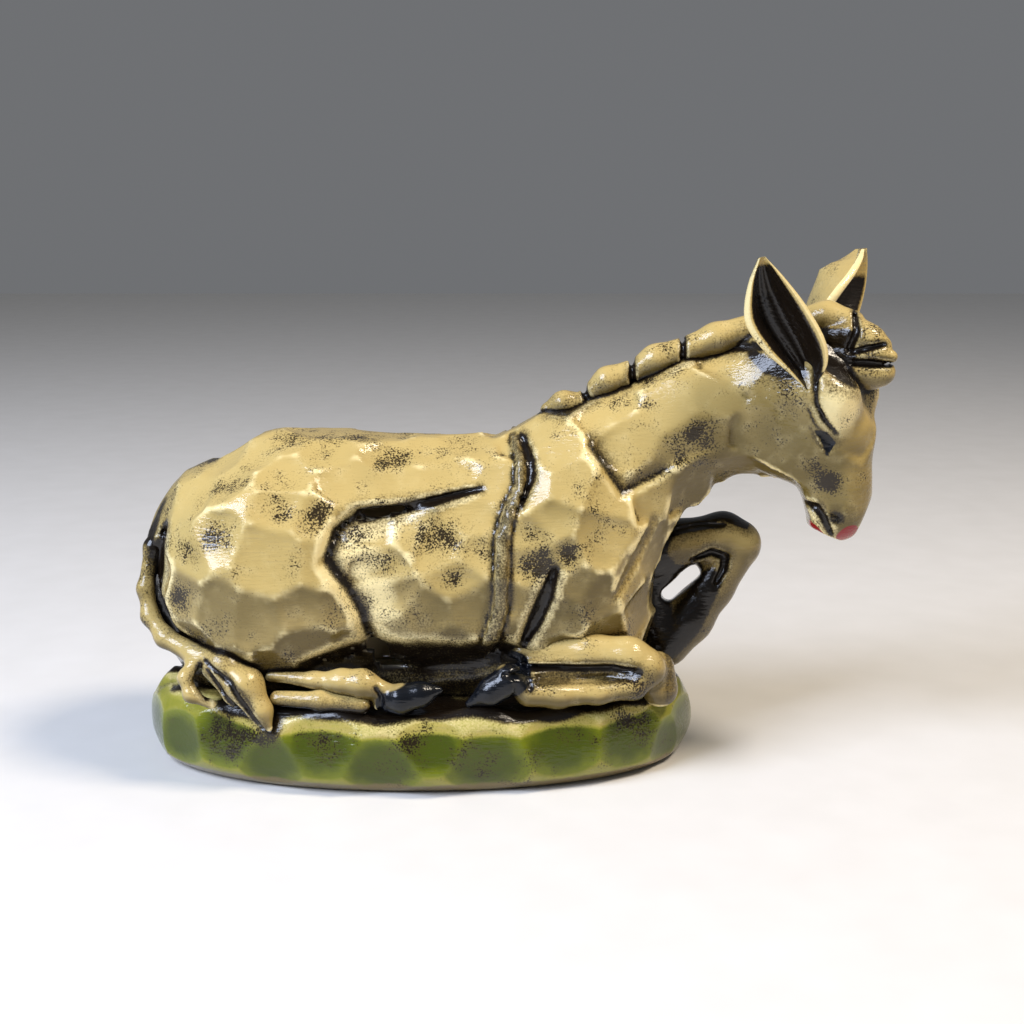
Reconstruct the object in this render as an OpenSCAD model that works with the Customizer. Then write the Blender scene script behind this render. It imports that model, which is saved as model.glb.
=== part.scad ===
// Coin bank in the shape of a donkey lying on an oval plinth.
// The figure is a thin-walled casting. The limbs, ears, mane and tail are small castings that are
// stuck onto it, and a rubber stopper closes the hole in the underside of the plinth.
// Millimetres. X runs along the animal with the head at +X, -Y is its left side, and Z is up.

/* [Figure] */
// Length of the animal, from the bend of its tail to its forelock
figure_length = 192; // [170:1:232]
// Width of the animal, with the legs folded at its left side
figure_width = 62; // [50:1:75]
// Height of the animal above the plinth, to the tips of its ears
figure_height = 111; // [92:1:134]

/* [Casting] */
// Wall thickness of the hollow castings
wall = 4.5; // [3.5:0.1:5.5]

/* [Coin slot] */
// Length of the coin slot along the back
slot_length = 36; // [30:1:44]
// Width of the coin slot
slot_width = 5; // [4.2:0.1:6]
// How far the slot's middle lies from the spine, towards the right side of the animal
slot_offset = 8; // [0:0.5:10]
// Where the slot's middle lies along the back
slot_x = -21; // [-27:1:-15]

/* [Plinth] */
// Height of the plinth
base_height = 20; // [16.5:0.5:24]
// How far the plinth reaches past the figure at its two ends
rim_ends = 7; // [5:0.5:10]
// How far the plinth reaches past the figure at its two sides
rim_sides = 6; // [4:0.5:9]
// Depth of the recess under the plinth, inside its foot
foot_recess = 4; // [3.6:0.1:5]
// Width of the foot that the plinth stands on
foot_width = 7; // [5:0.5:9]
// Thickness of the plate that closes the plinth underneath
plate = 4; // [3:0.1:5]
// Width of the seat that the figure's wall has on the plinth, inside that wall
seat_lap = 2.5; // [1.5:0.5:4]

/* [Stopper] */
// Diameter of the hole that the stopper closes
hole_d = 34; // [28:0.5:41]
// Radial clearance between the stopper and its hole
stopper_clearance = 0.05; // [0.02:0.01:0.1]
// How far the stopper's flange reaches past the hole
flange_lip = 4; // [3:0.5:5]
// Thickness of the stopper's flange
flange_t = 1.8; // [1.4:0.1:2.4]
// Height of the stopper's cup above the plate
cup_rise = 4; // [3:0.5:6]
// Wall of the stopper's cup
cup_wall = 2; // [1.5:0.1:3]
// Width of the stopper's pull tab
tab_w = 11; // [8:0.5:13]

/* [Hidden] */

cream = [0.80, 0.70, 0.45];
moss = [0.36, 0.42, 0.08];
umber = [0.16, 0.11, 0.07];
rubber = [0.07, 0.07, 0.07];

// The figure is drawn at this size and is then stretched to the sizes above.
drawn = [192, 62, 111];
drawn_middle = 0.9;
stretch = [figure_length / drawn.x, figure_width / drawn.y, figure_height / drawn.z];
sides = 22;
join = 0.01;                      // overlap that makes two cuts run into each other
oval_step = 6;                    // degrees between the plinth's corners

// The ground that the drawn figure covers, and the seat of its wall at the plinth.
ground_x = [-88, 43];
ground_y = 30.5;
seat_x = [-70, 28];
seat_y = 19;

base_length = (ground_x[1] - ground_x[0]) * stretch.x + 2 * rim_ends;
base_width = 2 * (ground_y * stretch.y + rim_sides);
base_x = ((ground_x[0] + ground_x[1]) / 2 - drawn_middle) * stretch.x;
base_foot_inset = 5.5;              // how far the plinth draws in at its foot
base_rim_inset = 4;               // how far it draws in at its top
base_belly = [0.25, 0.62];        // where its side is widest, as shares of its height
passage_length = (seat_x[1] - seat_x[0]) * stretch.x - 2 * (wall + seat_lap);
passage_width = 2 * (seat_y * stretch.y - wall - seat_lap);
passage_x = ((seat_x[0] + seat_x[1]) / 2 - drawn_middle) * stretch.x;
hole_x = base_x;
flange_r = hole_d / 2 + flange_lip;
flange_gap = 0.5;                 // room that the foot leaves round the flange and its tab

// Stations along the figure: [place], [half-sizes]. Heights are above the plinth.
haunch = [[-78, 0, 26], [15, 20, 21]];
croup = [[-60, 0, 27], [20, 28.5, 37]];
loin = [[-45, 0, 28], [20, 29, 38]];
barrel = [[-19, 0, 27], [20, 27, 37]];
girth = [[5, 0, 28], [20, 26, 38.5]];
withers = [[18, 0, 42], [18, 21, 32]];
chest = [[25, 0, 23], [19, 20, 28]];
neck_root = [[32, 0, 57], [15, 16, 23]];
neck_mid = [[47, -0.5, 67], [13, 13, 20]];
neck_top = [[61, -1, 74], [12, 12, 19]];

// Head: the face is turned by head_yaw towards the left side of the animal.
head_yaw = -30;
head_root = [68.5, -1.5, 0];
poll = [[2, 0, 84], [11, 11, 10]];
brow = [[12, 0, 75], [15, 14, 15]];
cheek = [[6.5, 0, 65], [12.5, 12.5, 11]];
face = [[14.5, 0, 53], [9, 9.5, 10]];
muzzle = [[15.5, 0, 47], [8.5, 9, 8]];

// A block with rounded faces at one station, drawn in by the wall when it shapes the hollow.
module blob(station, shrink = 0) {
    size = station[1];
    translate(station[0])
        scale([size.x - shrink / stretch.x, size.y - shrink / stretch.y, size.z - shrink / stretch.z])
            sphere(r = 1, $fn = sides);
}

// Skins over each pair of neighbouring stations.
module chain(stations, shrink = 0) {
    for (i = [0 : len(stations) - 2])
        hull() {
            blob(stations[i], shrink);
            blob(stations[i + 1], shrink);
        }
}

module turned_head() {
    translate(head_root) rotate([0, 0, head_yaw]) children();
}

module head_form() {
    turned_head() {
        chain([poll, brow, face, muzzle]);
        chain([brow, cheek, face]);
    }
    hull() {
        blob(neck_top);
        turned_head() blob(cheek);
    }
}

// The animal without its loose castings, filled in.
module body_form() {
    chain([haunch, croup, loin, barrel, girth, withers, neck_root, neck_mid, neck_top]);
    chain([girth, chest, withers]);
    chain([chest, neck_root]);
    head_form();
}

// Puts what is drawn at the figure's own size onto the plinth.
module on_plinth() {
    translate([0, 0, base_height]) scale(stretch) translate([-drawn_middle, 0, 0]) children();
}

module above_plinth() {
    span = 3 * figure_length;
    intersection() {
        translate([-span / 2, -span / 2, base_height]) cube(span);
        children();
    }
}

// Room for the coins inside the figure.
module body_hollow() {
    on_plinth() {
        chain([haunch, croup, loin, barrel, girth, withers, neck_root], wall);
        chain([girth, chest, withers], wall);
    }
}

module coin_slot() {
    translate([slot_x - slot_length / 2, slot_offset - slot_width / 2, base_height + figure_height / 2 - join])
        cube([slot_length, slot_width, figure_height]);
}

module body_shell() {
    color(cream)
        above_plinth()
            difference() {
                on_plinth() body_form();
                body_hollow();
                coin_slot();
            }
}

// An oval of two half-widths, a little squarer than an ellipse.
module oval(a, b) {
    squareness = 2.05;
    polygon([for (t = [0 : oval_step : 360 - oval_step])
        [a * sign(cos(t)) * pow(abs(cos(t)), 2 / squareness),
         b * sign(sin(t)) * pow(abs(sin(t)), 2 / squareness)]]);
}

// A slice of the plinth, drawn in all round by an inset.
module slab(inset, low, high) {
    translate([base_x, 0, low])
        linear_extrude(high - low) oval(base_length / 2 - inset, base_width / 2 - inset);
}

module base_form() {
    hull() {
        slab(base_foot_inset, 0, 1);
        slab(0, base_height * base_belly[0], base_height * base_belly[1]);
        slab(base_rim_inset, base_height - 1, base_height);
    }
}

module base_shell() {
    floor_z = foot_recess + plate;
    color(moss)
        difference() {
            base_form();
            slab(base_foot_inset + foot_width, -1, foot_recess);
            slab(base_rim_inset + wall, floor_z, base_height - wall);
            translate([passage_x, 0, base_height - wall - join])
                linear_extrude(2 * wall) oval(passage_length / 2, passage_width / 2);
            translate([hole_x, 0, 0]) cylinder(d = hole_d, h = base_height - wall, $fn = 96);
            translate([hole_x, 0, -1]) {
                cylinder(r = flange_r + flange_gap, h = foot_recess + 1, $fn = 96);
                translate([flange_r, 0, 0]) cylinder(r = tab_w / 2 + flange_gap, h = foot_recess + 1, $fn = 48);
            }
        }
}

// What a stuck-on casting may not enter.
module taken() {
    on_plinth() body_form();
    base_form();
}

module stuck_on() {
    difference() {
        on_plinth() children();
        taken();
    }
}

module ball(place, r) {
    translate(place) sphere(r = r, $fn = 16);
}

// A limb of round section along [place, radius] points.
module limb(points) {
    for (i = [0 : len(points) - 2])
        hull() {
            ball(points[i][0], points[i][1]);
            ball(points[i + 1][0], points[i + 1][1]);
        }
}

module raised_foreleg() {
    color(cream) stuck_on() limb([[[34, 6, 30], 9], [[48, 7, 35], 6.3], [[62, 8, 36], 6.3],
                                  [[53, 7.5, 20], 5], [[44, 6.5, 8], 5.5], [[38, 6, 0], 7]]);
}

near_hind = [[[-56, -24, 8], 5], [[-34, -27, 6.5], 5], [[-25, -28, 5.5], 5.5], [[-17, -28.5, 3.5], 5]];
tail_run = [[[-81, -2, 46.5], 4.5], [[-88, -7, 38], 4.2], [[-90.5, -12, 24], 4.3], [[-86, -17, 15], 4.2],
            [[-75, -23, 11], 5], [[-66, -27, 5], 6.5], [[-58, -29, -1], 4]];
near_fore = [[[10, -19, 14], 9], [[33, -21, 12], 7.5], [[36.5, -21, 8], 7],
             [[14, -25, 4], 4.5], [[3, -27, 4.5], 4.8], [[-5, -27.5, 5], 5.2]];

module near_foreleg() {
    color(cream) stuck_on() limb(near_fore);
}

module near_hind_leg() {
    color(cream) stuck_on() limb(near_hind);
}

// The other hind leg comes out from under the near one, beside the brush of the tail.
module far_hind_leg() {
    color(umber) difference() {
        stuck_on() limb([[[-54, -28, 1], 3.2], [[-35, -29.5, 0], 3.2]]);
        on_plinth() {
            limb(near_hind);
            limb(tail_run);
        }
    }
}

module tail() {
    color(cream) difference() {
        stuck_on() limb(tail_run);
        on_plinth() limb(near_hind);
    }
}

// A pointed leaf from its root, over its broadest part, up to its tip, with its front dished.
module ear(root, front, back, tip, dish) {
    difference() {
        hull() {
            ball(root, 5);
            ball(front, 4);
            ball(back, 4);
            ball(tip, 2.2);
        }
        hull() {
            ball(root + dish, 2);
            ball((front + back) / 2 + dish, 4.5);
            ball(tip + dish * 1.3 - [0, 0, 9], 1.4);
        }
    }
}

module near_ear_form() {
    ear([72.5, -13, 83], [73, -18, 93], [61.5, -17, 95], [59.5, -23, 108.8], [2, -5.5, 2]);
}

module far_ear_form() {
    ear([82, 8, 88], [91, 12, 93], [83, 17, 98], [92, 20, 108.8], [4.5, -4, 1]);
}

module near_ear() {
    color(cream) difference() {
        on_plinth() near_ear_form();
        taken();
    }
}

module far_ear() {
    color(cream) difference() {
        on_plinth() far_ear_form();
        taken();
    }
}

module forelock() {
    color(cream) difference() {
        stuck_on() turned_head() {
            hull() { ball([12, 0, 90], 6); ball([23.5, 0, 88], 6); }
            hull() { ball([23.5, 0, 88], 6); ball([26.5, 0, 83], 5.5); }
        }
        on_plinth() {
            near_ear_form();
            far_ear_form();
        }
    }
}

module mane_tufts() {
    tufts = [[[13, 0, 71.5], [20, 0, 73]], [[23, 0, 75.5], [31, 0, 79.5]],
             [[34, 0, 81], [43, 0, 85]], [[47, -0.5, 87], [60, -1, 91.5]]];
    color(cream) stuck_on()
        for (t = tufts)
            hull() {
                ball(t[0], 3);
                ball(t[1], 3.8);
            }
}

// A soft cup with a flange and a tab to pull it by.
module stopper() {
    plug_r = hole_d / 2 - stopper_clearance;
    flange_z = foot_recess - flange_t;
    lead_in = 1;
    color(rubber) translate([hole_x, 0, flange_z])
        difference() {
            union() {
                cylinder(r = flange_r, h = flange_t, $fn = 96);
                cylinder(r = plug_r, h = flange_t + plate, $fn = 96);
                translate([0, 0, flange_t + plate - join])
                    cylinder(r1 = plug_r, r2 = plug_r - lead_in, h = cup_rise, $fn = 96);
                translate([flange_r, 0, 0]) cylinder(d = tab_w, h = flange_t, $fn = 48);
            }
            translate([0, 0, cup_wall])
                cylinder(r = plug_r - lead_in - cup_wall, h = flange_t + plate + cup_rise, $fn = 96);
        }
}

base_shell();
body_shell();
near_ear();
far_ear();
forelock();
mane_tufts();
tail();
raised_foreleg();
near_foreleg();
near_hind_leg();
far_hind_leg();
stopper();
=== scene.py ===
"""Looks of a figural coin bank: a donkey lying on an oval plinth, cast hollow, hand painted and varnished.

The castings are modelled as a carver would: each starts as a block of smooth masses, is cut flat with
knife facets, gets its grooves and ribs, and is then skinned. A carved block can't be written as one
surface of two parameters, so it is held as a field of distances on a grid, worked out with whole numpy
arrays, and so is the stopper. The ears, the plinth and the floor are plain surfaces of two parameters.
Lengths are in millimetres until a mesh is made.
"""
import logging
import math
from dataclasses import dataclass, field
from enum import Enum
from typing import Callable, NamedTuple, Optional, Union

import bpy
import numpy as np
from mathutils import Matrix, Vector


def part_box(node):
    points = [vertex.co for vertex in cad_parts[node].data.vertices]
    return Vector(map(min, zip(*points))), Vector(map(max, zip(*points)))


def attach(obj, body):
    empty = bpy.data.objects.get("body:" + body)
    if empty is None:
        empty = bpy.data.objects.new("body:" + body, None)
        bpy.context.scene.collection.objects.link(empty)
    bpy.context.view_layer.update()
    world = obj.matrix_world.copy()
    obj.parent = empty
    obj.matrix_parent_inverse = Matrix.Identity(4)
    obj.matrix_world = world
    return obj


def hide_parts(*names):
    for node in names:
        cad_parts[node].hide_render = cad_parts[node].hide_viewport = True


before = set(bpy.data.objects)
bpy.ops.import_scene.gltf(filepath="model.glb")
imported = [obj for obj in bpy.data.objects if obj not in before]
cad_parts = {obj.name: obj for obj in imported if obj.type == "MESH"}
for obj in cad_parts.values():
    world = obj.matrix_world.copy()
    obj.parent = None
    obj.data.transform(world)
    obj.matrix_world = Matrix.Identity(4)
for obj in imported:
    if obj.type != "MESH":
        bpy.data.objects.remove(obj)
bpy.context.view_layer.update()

MM = 0.001
LOG = logging.getLogger("coin_bank")
Array = np.ndarray
Triple = tuple[float, float, float]
Pair = tuple[float, float]
Stations = list[tuple[Triple, float]]


class Cloud(NamedTuple):
    """Places in millimetres, as three arrays that broadcast together."""

    x: Array
    y: Array
    z: Array


# ---------------------------------------------------------------- masses


def cloud_of(points: Array) -> Cloud:
    """The rows of an (n, 3) array as a Cloud."""
    return Cloud(points[:, 0], points[:, 1], points[:, 2])


def smooth(low: float, high: float, value: Array) -> Array:
    """An S-curve from 0 at low to 1 at high: three times the square less twice the cube."""
    share = np.clip((value - low) / (high - low), 0.0, 1.0)
    return share * share * (3.0 - 2.0 * share)


def merge(first: Array, second: Array, soft: float) -> Array:
    """Joins two masses: the lesser distance, less a fillet where they differ by under soft."""
    gap = np.clip(1.0 - np.abs(first - second) / soft, 0.0, 1.0)
    return np.minimum(first, second) - gap * gap * soft * 0.25


def cut(block: Array, tool: Array, soft: float) -> Array:
    """Takes a tool's mass out of a block: the greater of the block and the inverted tool, filleted."""
    return -merge(-block, tool, soft)


def ellipsoid(at: Cloud, centre: Triple, half: Triple) -> Array:
    """Distance to an ellipsoid: its scaled radius less one, times that radius over the gradient's length."""
    x, y, z = ((a - c) / h for a, c, h in zip(at, centre, half))
    radius = np.sqrt(x * x + y * y + z * z)
    slope = np.sqrt((x / half[0]) ** 2 + (y / half[1]) ** 2 + (z / half[2]) ** 2)
    return radius * (radius - 1.0) / np.maximum(slope, 1e-6)


def rod(at: Cloud, stations: Stations, soft: float = 1.0, flat: Triple = (1.0, 1.0, 1.0)) -> Array:
    """Distance to a bent rod: the distance to each stretch, less a radius that changes evenly along it.

    Args:
        at: Places to work out.
        stations: Points along the rod, each with its radius.
        soft: Fillet between stretches.
        flat: Stretch of the rod's section along each axis, about each point of the rod.

    Returns:
        The distance at each place.
    """
    whole: Optional[Array] = None
    scaled = Cloud(*(a / f for a, f in zip(at, flat)))
    for (start, r0), (end, r1) in zip(stations, stations[1:]):
        a = [s / f for s, f in zip(start, flat)]
        b = [e / f - s for e, f, s in zip(end, flat, a)]
        away = [p - s for p, s in zip(scaled, a)]
        share = np.clip(sum(p * q for p, q in zip(away, b)) / max(sum(q * q for q in b), 1e-9), 0.0, 1.0)
        gap = np.sqrt(sum((p - q * share) ** 2 for p, q in zip(away, b))) - (r0 + (r1 - r0) * share)
        gap = gap * min(flat)
        whole = gap if whole is None else merge(whole, gap, soft)
    return whole


def spline(x: Array, knots: list[float], values: list[float]) -> Array:
    """A smooth curve through the knots: cubic stretches whose slope at a knot joins its two neighbours."""
    k, v = np.array(knots, float), np.array(values, float)
    slopes = np.gradient(v, k)
    i = np.clip(np.searchsorted(k, x) - 1, 0, len(k) - 2)
    span = k[i + 1] - k[i]
    t = np.clip((x - k[i]) / span, 0.0, 1.0)
    low = (1 + 2 * t) * (1 - t) ** 2 * v[i] + t * (1 - t) ** 2 * span * slopes[i]
    return low + t * t * (3 - 2 * t) * v[i + 1] + t * t * (t - 1) * span * slopes[i + 1]


def sections(at: Cloud, stations: list[tuple[float, float, float, float]], power: float = 2.0) -> Array:
    """Distance to a mass with oval sections across X: the scaled radius less one, times the half-width.

    Args:
        at: Places to work out; its x has to be an axis of a grid or one value per place.
        stations: (x, half-width, bottom, top) at each station.
        power: Squareness of the oval: 2 is an ellipse.

    Returns:
        The distance at each place, roughly.
    """
    table = np.array(stations, float)
    shape = at.x.shape
    flat_x = at.x.reshape(-1)
    knots = list(table[:, 0])
    width = np.maximum(spline(flat_x, knots, list(table[:, 1])), 0.5).reshape(shape)
    low = spline(flat_x, knots, list(table[:, 2])).reshape(shape)
    high = spline(flat_x, knots, list(table[:, 3])).reshape(shape)
    middle, half = (low + high) / 2, np.maximum((high - low) / 2, 0.5)
    radius = (np.abs(at.y / width) ** power + np.abs((at.z - middle) / half) ** power) ** (1.0 / power)
    beyond = np.maximum(knots[0] - at.x, at.x - knots[-1])
    return np.maximum((radius - 1.0) * np.minimum(width, half), beyond)


class Line2D:
    """A bent line drawn on the side of the figure, as (x, z) points."""

    def __init__(self, points: list[Pair]) -> None:
        """Keeps the points and the share of the length at each."""
        self.points = np.array(points, np.float32)
        steps = np.linalg.norm(np.diff(self.points, axis=0), axis=1)
        self.shares = np.concatenate([[0.0], np.cumsum(steps)]) / steps.sum()

    def near(self, x: Array, z: Array) -> tuple[Array, Array, Array]:
        """Distance to the line, the share of its length there, and the side: over 0 on its left."""
        best = np.full(np.broadcast(x, z).shape, 1e6, np.float32)
        share, side = np.zeros_like(best), np.ones_like(best)
        for (a, b), s0, s1 in zip(zip(self.points, self.points[1:]), self.shares, self.shares[1:]):
            run = b - a
            t = np.clip(((x - a[0]) * run[0] + (z - a[1]) * run[1]) / (run @ run), 0.0, 1.0)
            gap = np.hypot(x - a[0] - t * run[0], z - a[1] - t * run[1])
            closer = gap < best
            best = np.where(closer, gap, best)
            share = np.where(closer, s0 + (s1 - s0) * t, share)
            side = np.where(closer, np.sign((z - a[1]) * run[0] - (x - a[0]) * run[1]), side)
        return best, share, side


class Stroke(Enum):
    """What a tool leaves along a line."""

    GROOVE = "groove"
    RIB = "rib"
    STEP = "step"


class Flank(Enum):
    """Which side of the figure a stroke is cut in."""

    NEAR = "near"
    BOTH = "both"
    ALL = "all"


@dataclass(frozen=True)
class Carving:
    """One stroke of the carver's tool along a line on the side, the dark wash that stays in it, and a painted
    shade round it.

    A groove is a round channel. A rib is a flat band with a sunk edge. A step lowers what lies on the
    line's right, most at the line and nothing further off than reach.
    """

    points: tuple[Pair, ...]
    wide: tuple[float, ...]
    deep: float
    stroke: Stroke = Stroke.GROOVE
    wash_and_shade: float = 1.0
    reach: float = 8.0
    flank: Flank = Flank.BOTH
    middle: float = 0.0

    def work(self, at: Cloud) -> tuple[Array, Array]:
        """How deep the stroke cuts at each place, and how dark its wash and painted shade are there.

        Args:
            at: Places near the skin.

        Returns:
            The depth in millimetres, and the wash with its painted shade from 0 to 1.
        """
        gap, share, side = Line2D(list(self.points)).near(at.x, at.z)
        half = np.interp(share, np.linspace(0.0, 1.0, len(self.wide)), self.wide).astype(np.float32)
        on = self.mask(at.y)
        ends = smooth(0.0, 0.06, share) * smooth(1.0, 0.94, share) * 0.6 + 0.4
        if self.stroke is Stroke.GROOVE:
            bowl = np.clip(1.0 - (gap / half) ** 2, 0.0, 1.0)
            # Umber in the channel, and a wider, fainter painted shade round it.
            halo = np.maximum(smooth(1.2, 0.5, gap / half), 0.45 * smooth(3.4, 0.8, gap / half))
            return self.deep * bowl ** 1.3 * on * ends, self.wash_and_shade * halo * on
        if self.stroke is Stroke.RIB:
            band = smooth(1.05, 0.7, gap / half)
            moat = np.exp(-(((gap / half) - 1.15) / 0.28) ** 2)
            # The band's own olive paint, umber in its sunk edge, and a faint painted shade beyond it.
            dark = np.maximum(0.8 * moat, np.maximum(band * 0.58, 0.35 * smooth(3.0, 1.0, gap / half)))
            return (-self.deep * band + self.deep * 0.75 * moat) * on, self.wash_and_shade * dark * on
        inner = np.where(side < 0, np.exp(-gap / self.reach), smooth(half, 0.0, gap) * 0.8)
        # Umber at the step's edge, fading off over the lowered side as a painted shade.
        shade = np.where(side < 0, np.exp(-gap / (self.reach * 0.45)), smooth(half * 0.7, 0.0, gap))
        return self.deep * inner * on, self.wash_and_shade * shade * on

    def mask(self, y: Array) -> Array:
        """1 on the stroke's own side of the middle plane, fading to 0 across it."""
        if self.flank is Flank.ALL:
            return np.ones_like(y)
        if self.flank is Flank.NEAR:
            return smooth(-1.0, -5.0, y - self.middle)
        return smooth(1.0, 5.0, np.abs(y - self.middle))


@dataclass(frozen=True)
class Facet:
    """One flat cut of the knife: its middle on the figure's side, its radius, hollow and sponging."""

    x: float
    z: float
    size: float = 8.0
    deep: float = 0.5
    sponge: float = 0.0


class Facets:
    """A set of knife cuts, each a plane that touches the mass at a seed and is dished a little.

    Near the skin the distance is that of the seed's plane. Between two seeds it changes over within a
    fraction of a millimetre, which leaves a soft ridge.
    """

    RIDGE = 6.0  # square millimetres: how wide a ridge is rounded
    PULL = 0.3  # how much further a larger cut reaches before it meets its neighbour

    def __init__(self, seeds: Array, normals: Array, sizes: Array, depths: Array, sponges: Array) -> None:
        """Keeps one row per cut."""
        self.seeds, self.normals = seeds.astype(np.float32), normals.astype(np.float32)
        self.sizes, self.depths, self.sponges = (a.astype(np.float32) for a in (sizes, depths, sponges))

    @staticmethod
    def batches(points: Array) -> list[Array]:
        """Row numbers of the places, in batches small enough to hold against every cut at once."""
        return np.array_split(np.arange(len(points)), max(1, len(points) // 15000))

    def field(self, points: Array) -> Array:
        """The cut skin's distance at (n, 3) places."""
        out = np.empty(len(points), np.float32)
        for part in self.batches(points):
            p = points[part]
            square = (p ** 2).sum(1)[:, None] - 2 * p @ self.seeds.T + (self.seeds ** 2).sum(1)
            plane = p @ self.normals.T - (self.seeds * self.normals).sum(1)
            bowl = self.depths * np.clip(1.0 - square / (1.3 * self.sizes) ** 2, 0.0, 1.0)
            reach = square - self.PULL * self.sizes ** 2
            weight = np.exp(-(reach - reach.min(1, keepdims=True)) / self.RIDGE)
            out[part] = (weight * (plane + bowl)).sum(1) / weight.sum(1)
        return out

    def sponge(self, points: Array) -> Array:
        """How much dark paint is sponged on at (n, 3) places, from 0 to 1."""
        out = np.empty(len(points), np.float32)
        for part in self.batches(points):
            far = np.sqrt(((points[part, None, :] - self.seeds[None]) ** 2).sum(2)) / self.sizes
            out[part] = (self.sponges * smooth(1.15, 0.1, far)).max(1)
        return out


# ---------------------------------------------------------------- the carver's block


class Block:
    """A carved piece, held as distances to its skin at the crossings of a grid.

    The skin is found in each grid cell that it passes through: one vertex at the mean of the skin's
    crossings of the cell's edges, and one four-sided face round each grid edge that crosses the skin.
    """

    def __init__(self, name: str, spans: list[list[tuple[float, float]]]) -> None:
        """Lays out the grid.

        Args:
            name: The piece's name.
            spans: For each axis its stops in millimetres, each with the spacing up to the next stop.
        """
        self.name = name
        self.axes = [self._axis(stops) for stops in spans]
        x, y, z = self.axes
        self.at = Cloud(x[:, None, None], y[None, :, None], z[None, None, :])
        self.field = np.zeros((len(x), len(y), len(z)), np.float32)
        self.facets: Optional[Facets] = None
        self.carvings: list[Carving] = []

    @staticmethod
    def _axis(stops: list[tuple[float, float]]) -> Array:
        """One axis's places, with spacing that changes at the stops."""
        runs = [np.linspace(a, b, max(2, round((b - a) / step) + 1))[:-1]
                for (a, step), (b, _) in zip(stops, stops[1:])]
        return np.concatenate(runs + [[stops[-1][0]]]).astype(np.float32)

    def places(self, index: Array) -> Array:
        """The (n, 3) places, in millimetres, of rows of grid numbers."""
        return np.stack([self.axes[k][index[:, k]] for k in range(3)], 1)

    def level(self) -> None:
        """Divides the distances by the length of their own gradient, so that they are true near the skin."""
        slopes = np.gradient(self.field, *self.axes)
        length = np.sqrt(sum(s * s for s in slopes))
        self.field = (self.field / np.clip(length, 0.35, 3.0)).astype(np.float32)

    def sample(self, points: Array, values: Optional[Array] = None) -> Array:
        """Values of the grid at (n, 3) places, worked out evenly between its crossings."""
        values = self.field if values is None else values
        low, part = [], []
        for k in range(3):
            index = np.interp(points[:, k], self.axes[k], np.arange(len(self.axes[k])))
            base = np.clip(index.astype(int), 0, len(self.axes[k]) - 2)
            low.append(base)
            part.append((index - base).astype(np.float32))
        out = np.zeros(len(points), np.float32)
        for corner in range(8):
            bits = [(corner >> k) & 1 for k in range(3)]
            weight = np.ones(len(points), np.float32)
            for k in range(3):
                weight = weight * (part[k] if bits[k] else 1.0 - part[k])
            out += weight * values[low[0] + bits[0], low[1] + bits[1], low[2] + bits[2]]
        return out

    def slope(self, points: Array, step: float = 0.5) -> Array:
        """The field's gradient at (n, 3) places."""
        out = np.empty((len(points), 3), np.float32)
        for k in range(3):
            shift = np.zeros(3, np.float32)
            shift[k] = step
            out[:, k] = (self.sample(points + shift) - self.sample(points - shift)) / (2 * step)
        return out

    def reach(self, points: Array) -> Array:
        """Distance to this piece at (n, 3) places, and a large one outside its grid."""
        inside = np.ones(len(points), bool)
        for k in range(3):
            inside &= (points[:, k] >= self.axes[k][0]) & (points[:, k] <= self.axes[k][-1])
        return np.where(inside, self.sample(points), 50.0)

    def cast(self, starts: Array, aim: Triple, length: float) -> tuple[Array, Array]:
        """Where rays first meet the skin.

        Args:
            starts: (n, 3) places to start from.
            aim: Direction of every ray.
            length: How far the rays go.

        Returns:
            The (n, 3) meeting places, and which rays met the skin.
        """
        steps = np.arange(0.0, length, 0.5, dtype=np.float32)
        ray = starts[:, None, :] + steps[None, :, None] * np.array(aim, np.float32)
        values = self.reach(ray.reshape(-1, 3)).reshape(len(starts), len(steps))
        first = np.argmax(values < 0, axis=1)
        return ray[np.arange(len(starts)), np.maximum(first, 1)], first > 0

    def skin(self) -> tuple[Array, Array]:
        """The vertices, in millimetres, and the four-sided faces of the skin."""
        f = self.field
        solid = f < 0
        low = tuple(slice(0, -1) for _ in range(3))
        count = np.zeros([n - 1 for n in f.shape], np.int8)
        for corner in range(8):
            count += solid[tuple(slice(1, None) if (corner >> k) & 1 else low[k] for k in range(3))]
        cells = np.argwhere((count > 0) & (count < 8))
        total = np.zeros((len(cells), 3), np.float32)
        hits = np.zeros((len(cells), 1), np.float32)
        for axis in range(3):
            others = [k for k in range(3) if k != axis]
            for corner in range(4):
                start = cells.copy()
                start[:, others[0]] += corner & 1
                start[:, others[1]] += corner >> 1
                end = start.copy()
                end[:, axis] += 1
                a, b = f[tuple(start.T)], f[tuple(end.T)]
                crosses = (a < 0) != (b < 0)
                share = np.where(crosses, a / np.where(crosses, a - b, 1.0), 0.0)
                spot = start.astype(np.float32)
                spot[:, axis] += share
                total += np.where(crosses[:, None], spot, 0.0)
                hits += crosses[:, None]
        index = total / hits
        vertices = np.stack([np.interp(index[:, k], np.arange(f.shape[k]), self.axes[k]) for k in range(3)],
                            1)
        label = np.full(count.shape, -1, np.int32)
        label[tuple(cells.T)] = np.arange(len(cells))
        faces = []
        for axis in range(3):
            u, v = [(1, 2), (2, 0), (0, 1)][axis]
            here = tuple(slice(0, -1) if k == axis else slice(1, -1) for k in range(3))
            there = tuple(slice(1, None) if k == axis else slice(1, -1) for k in range(3))
            spots = np.argwhere(solid[here] != solid[there])
            spots[:, u] += 1
            spots[:, v] += 1
            ring = []
            for du, dv in ((1, 1), (0, 1), (0, 0), (1, 0)):
                cell = spots.copy()
                cell[:, u] -= du
                cell[:, v] -= dv
                ring.append(label[tuple(cell.T)])
            quad = np.stack(ring, 1)
            outward = solid[tuple(spots.T)]
            faces.append(np.where(outward[:, None], quad, quad[:, ::-1]))
        return vertices.astype(np.float32), np.concatenate(faces)

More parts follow.
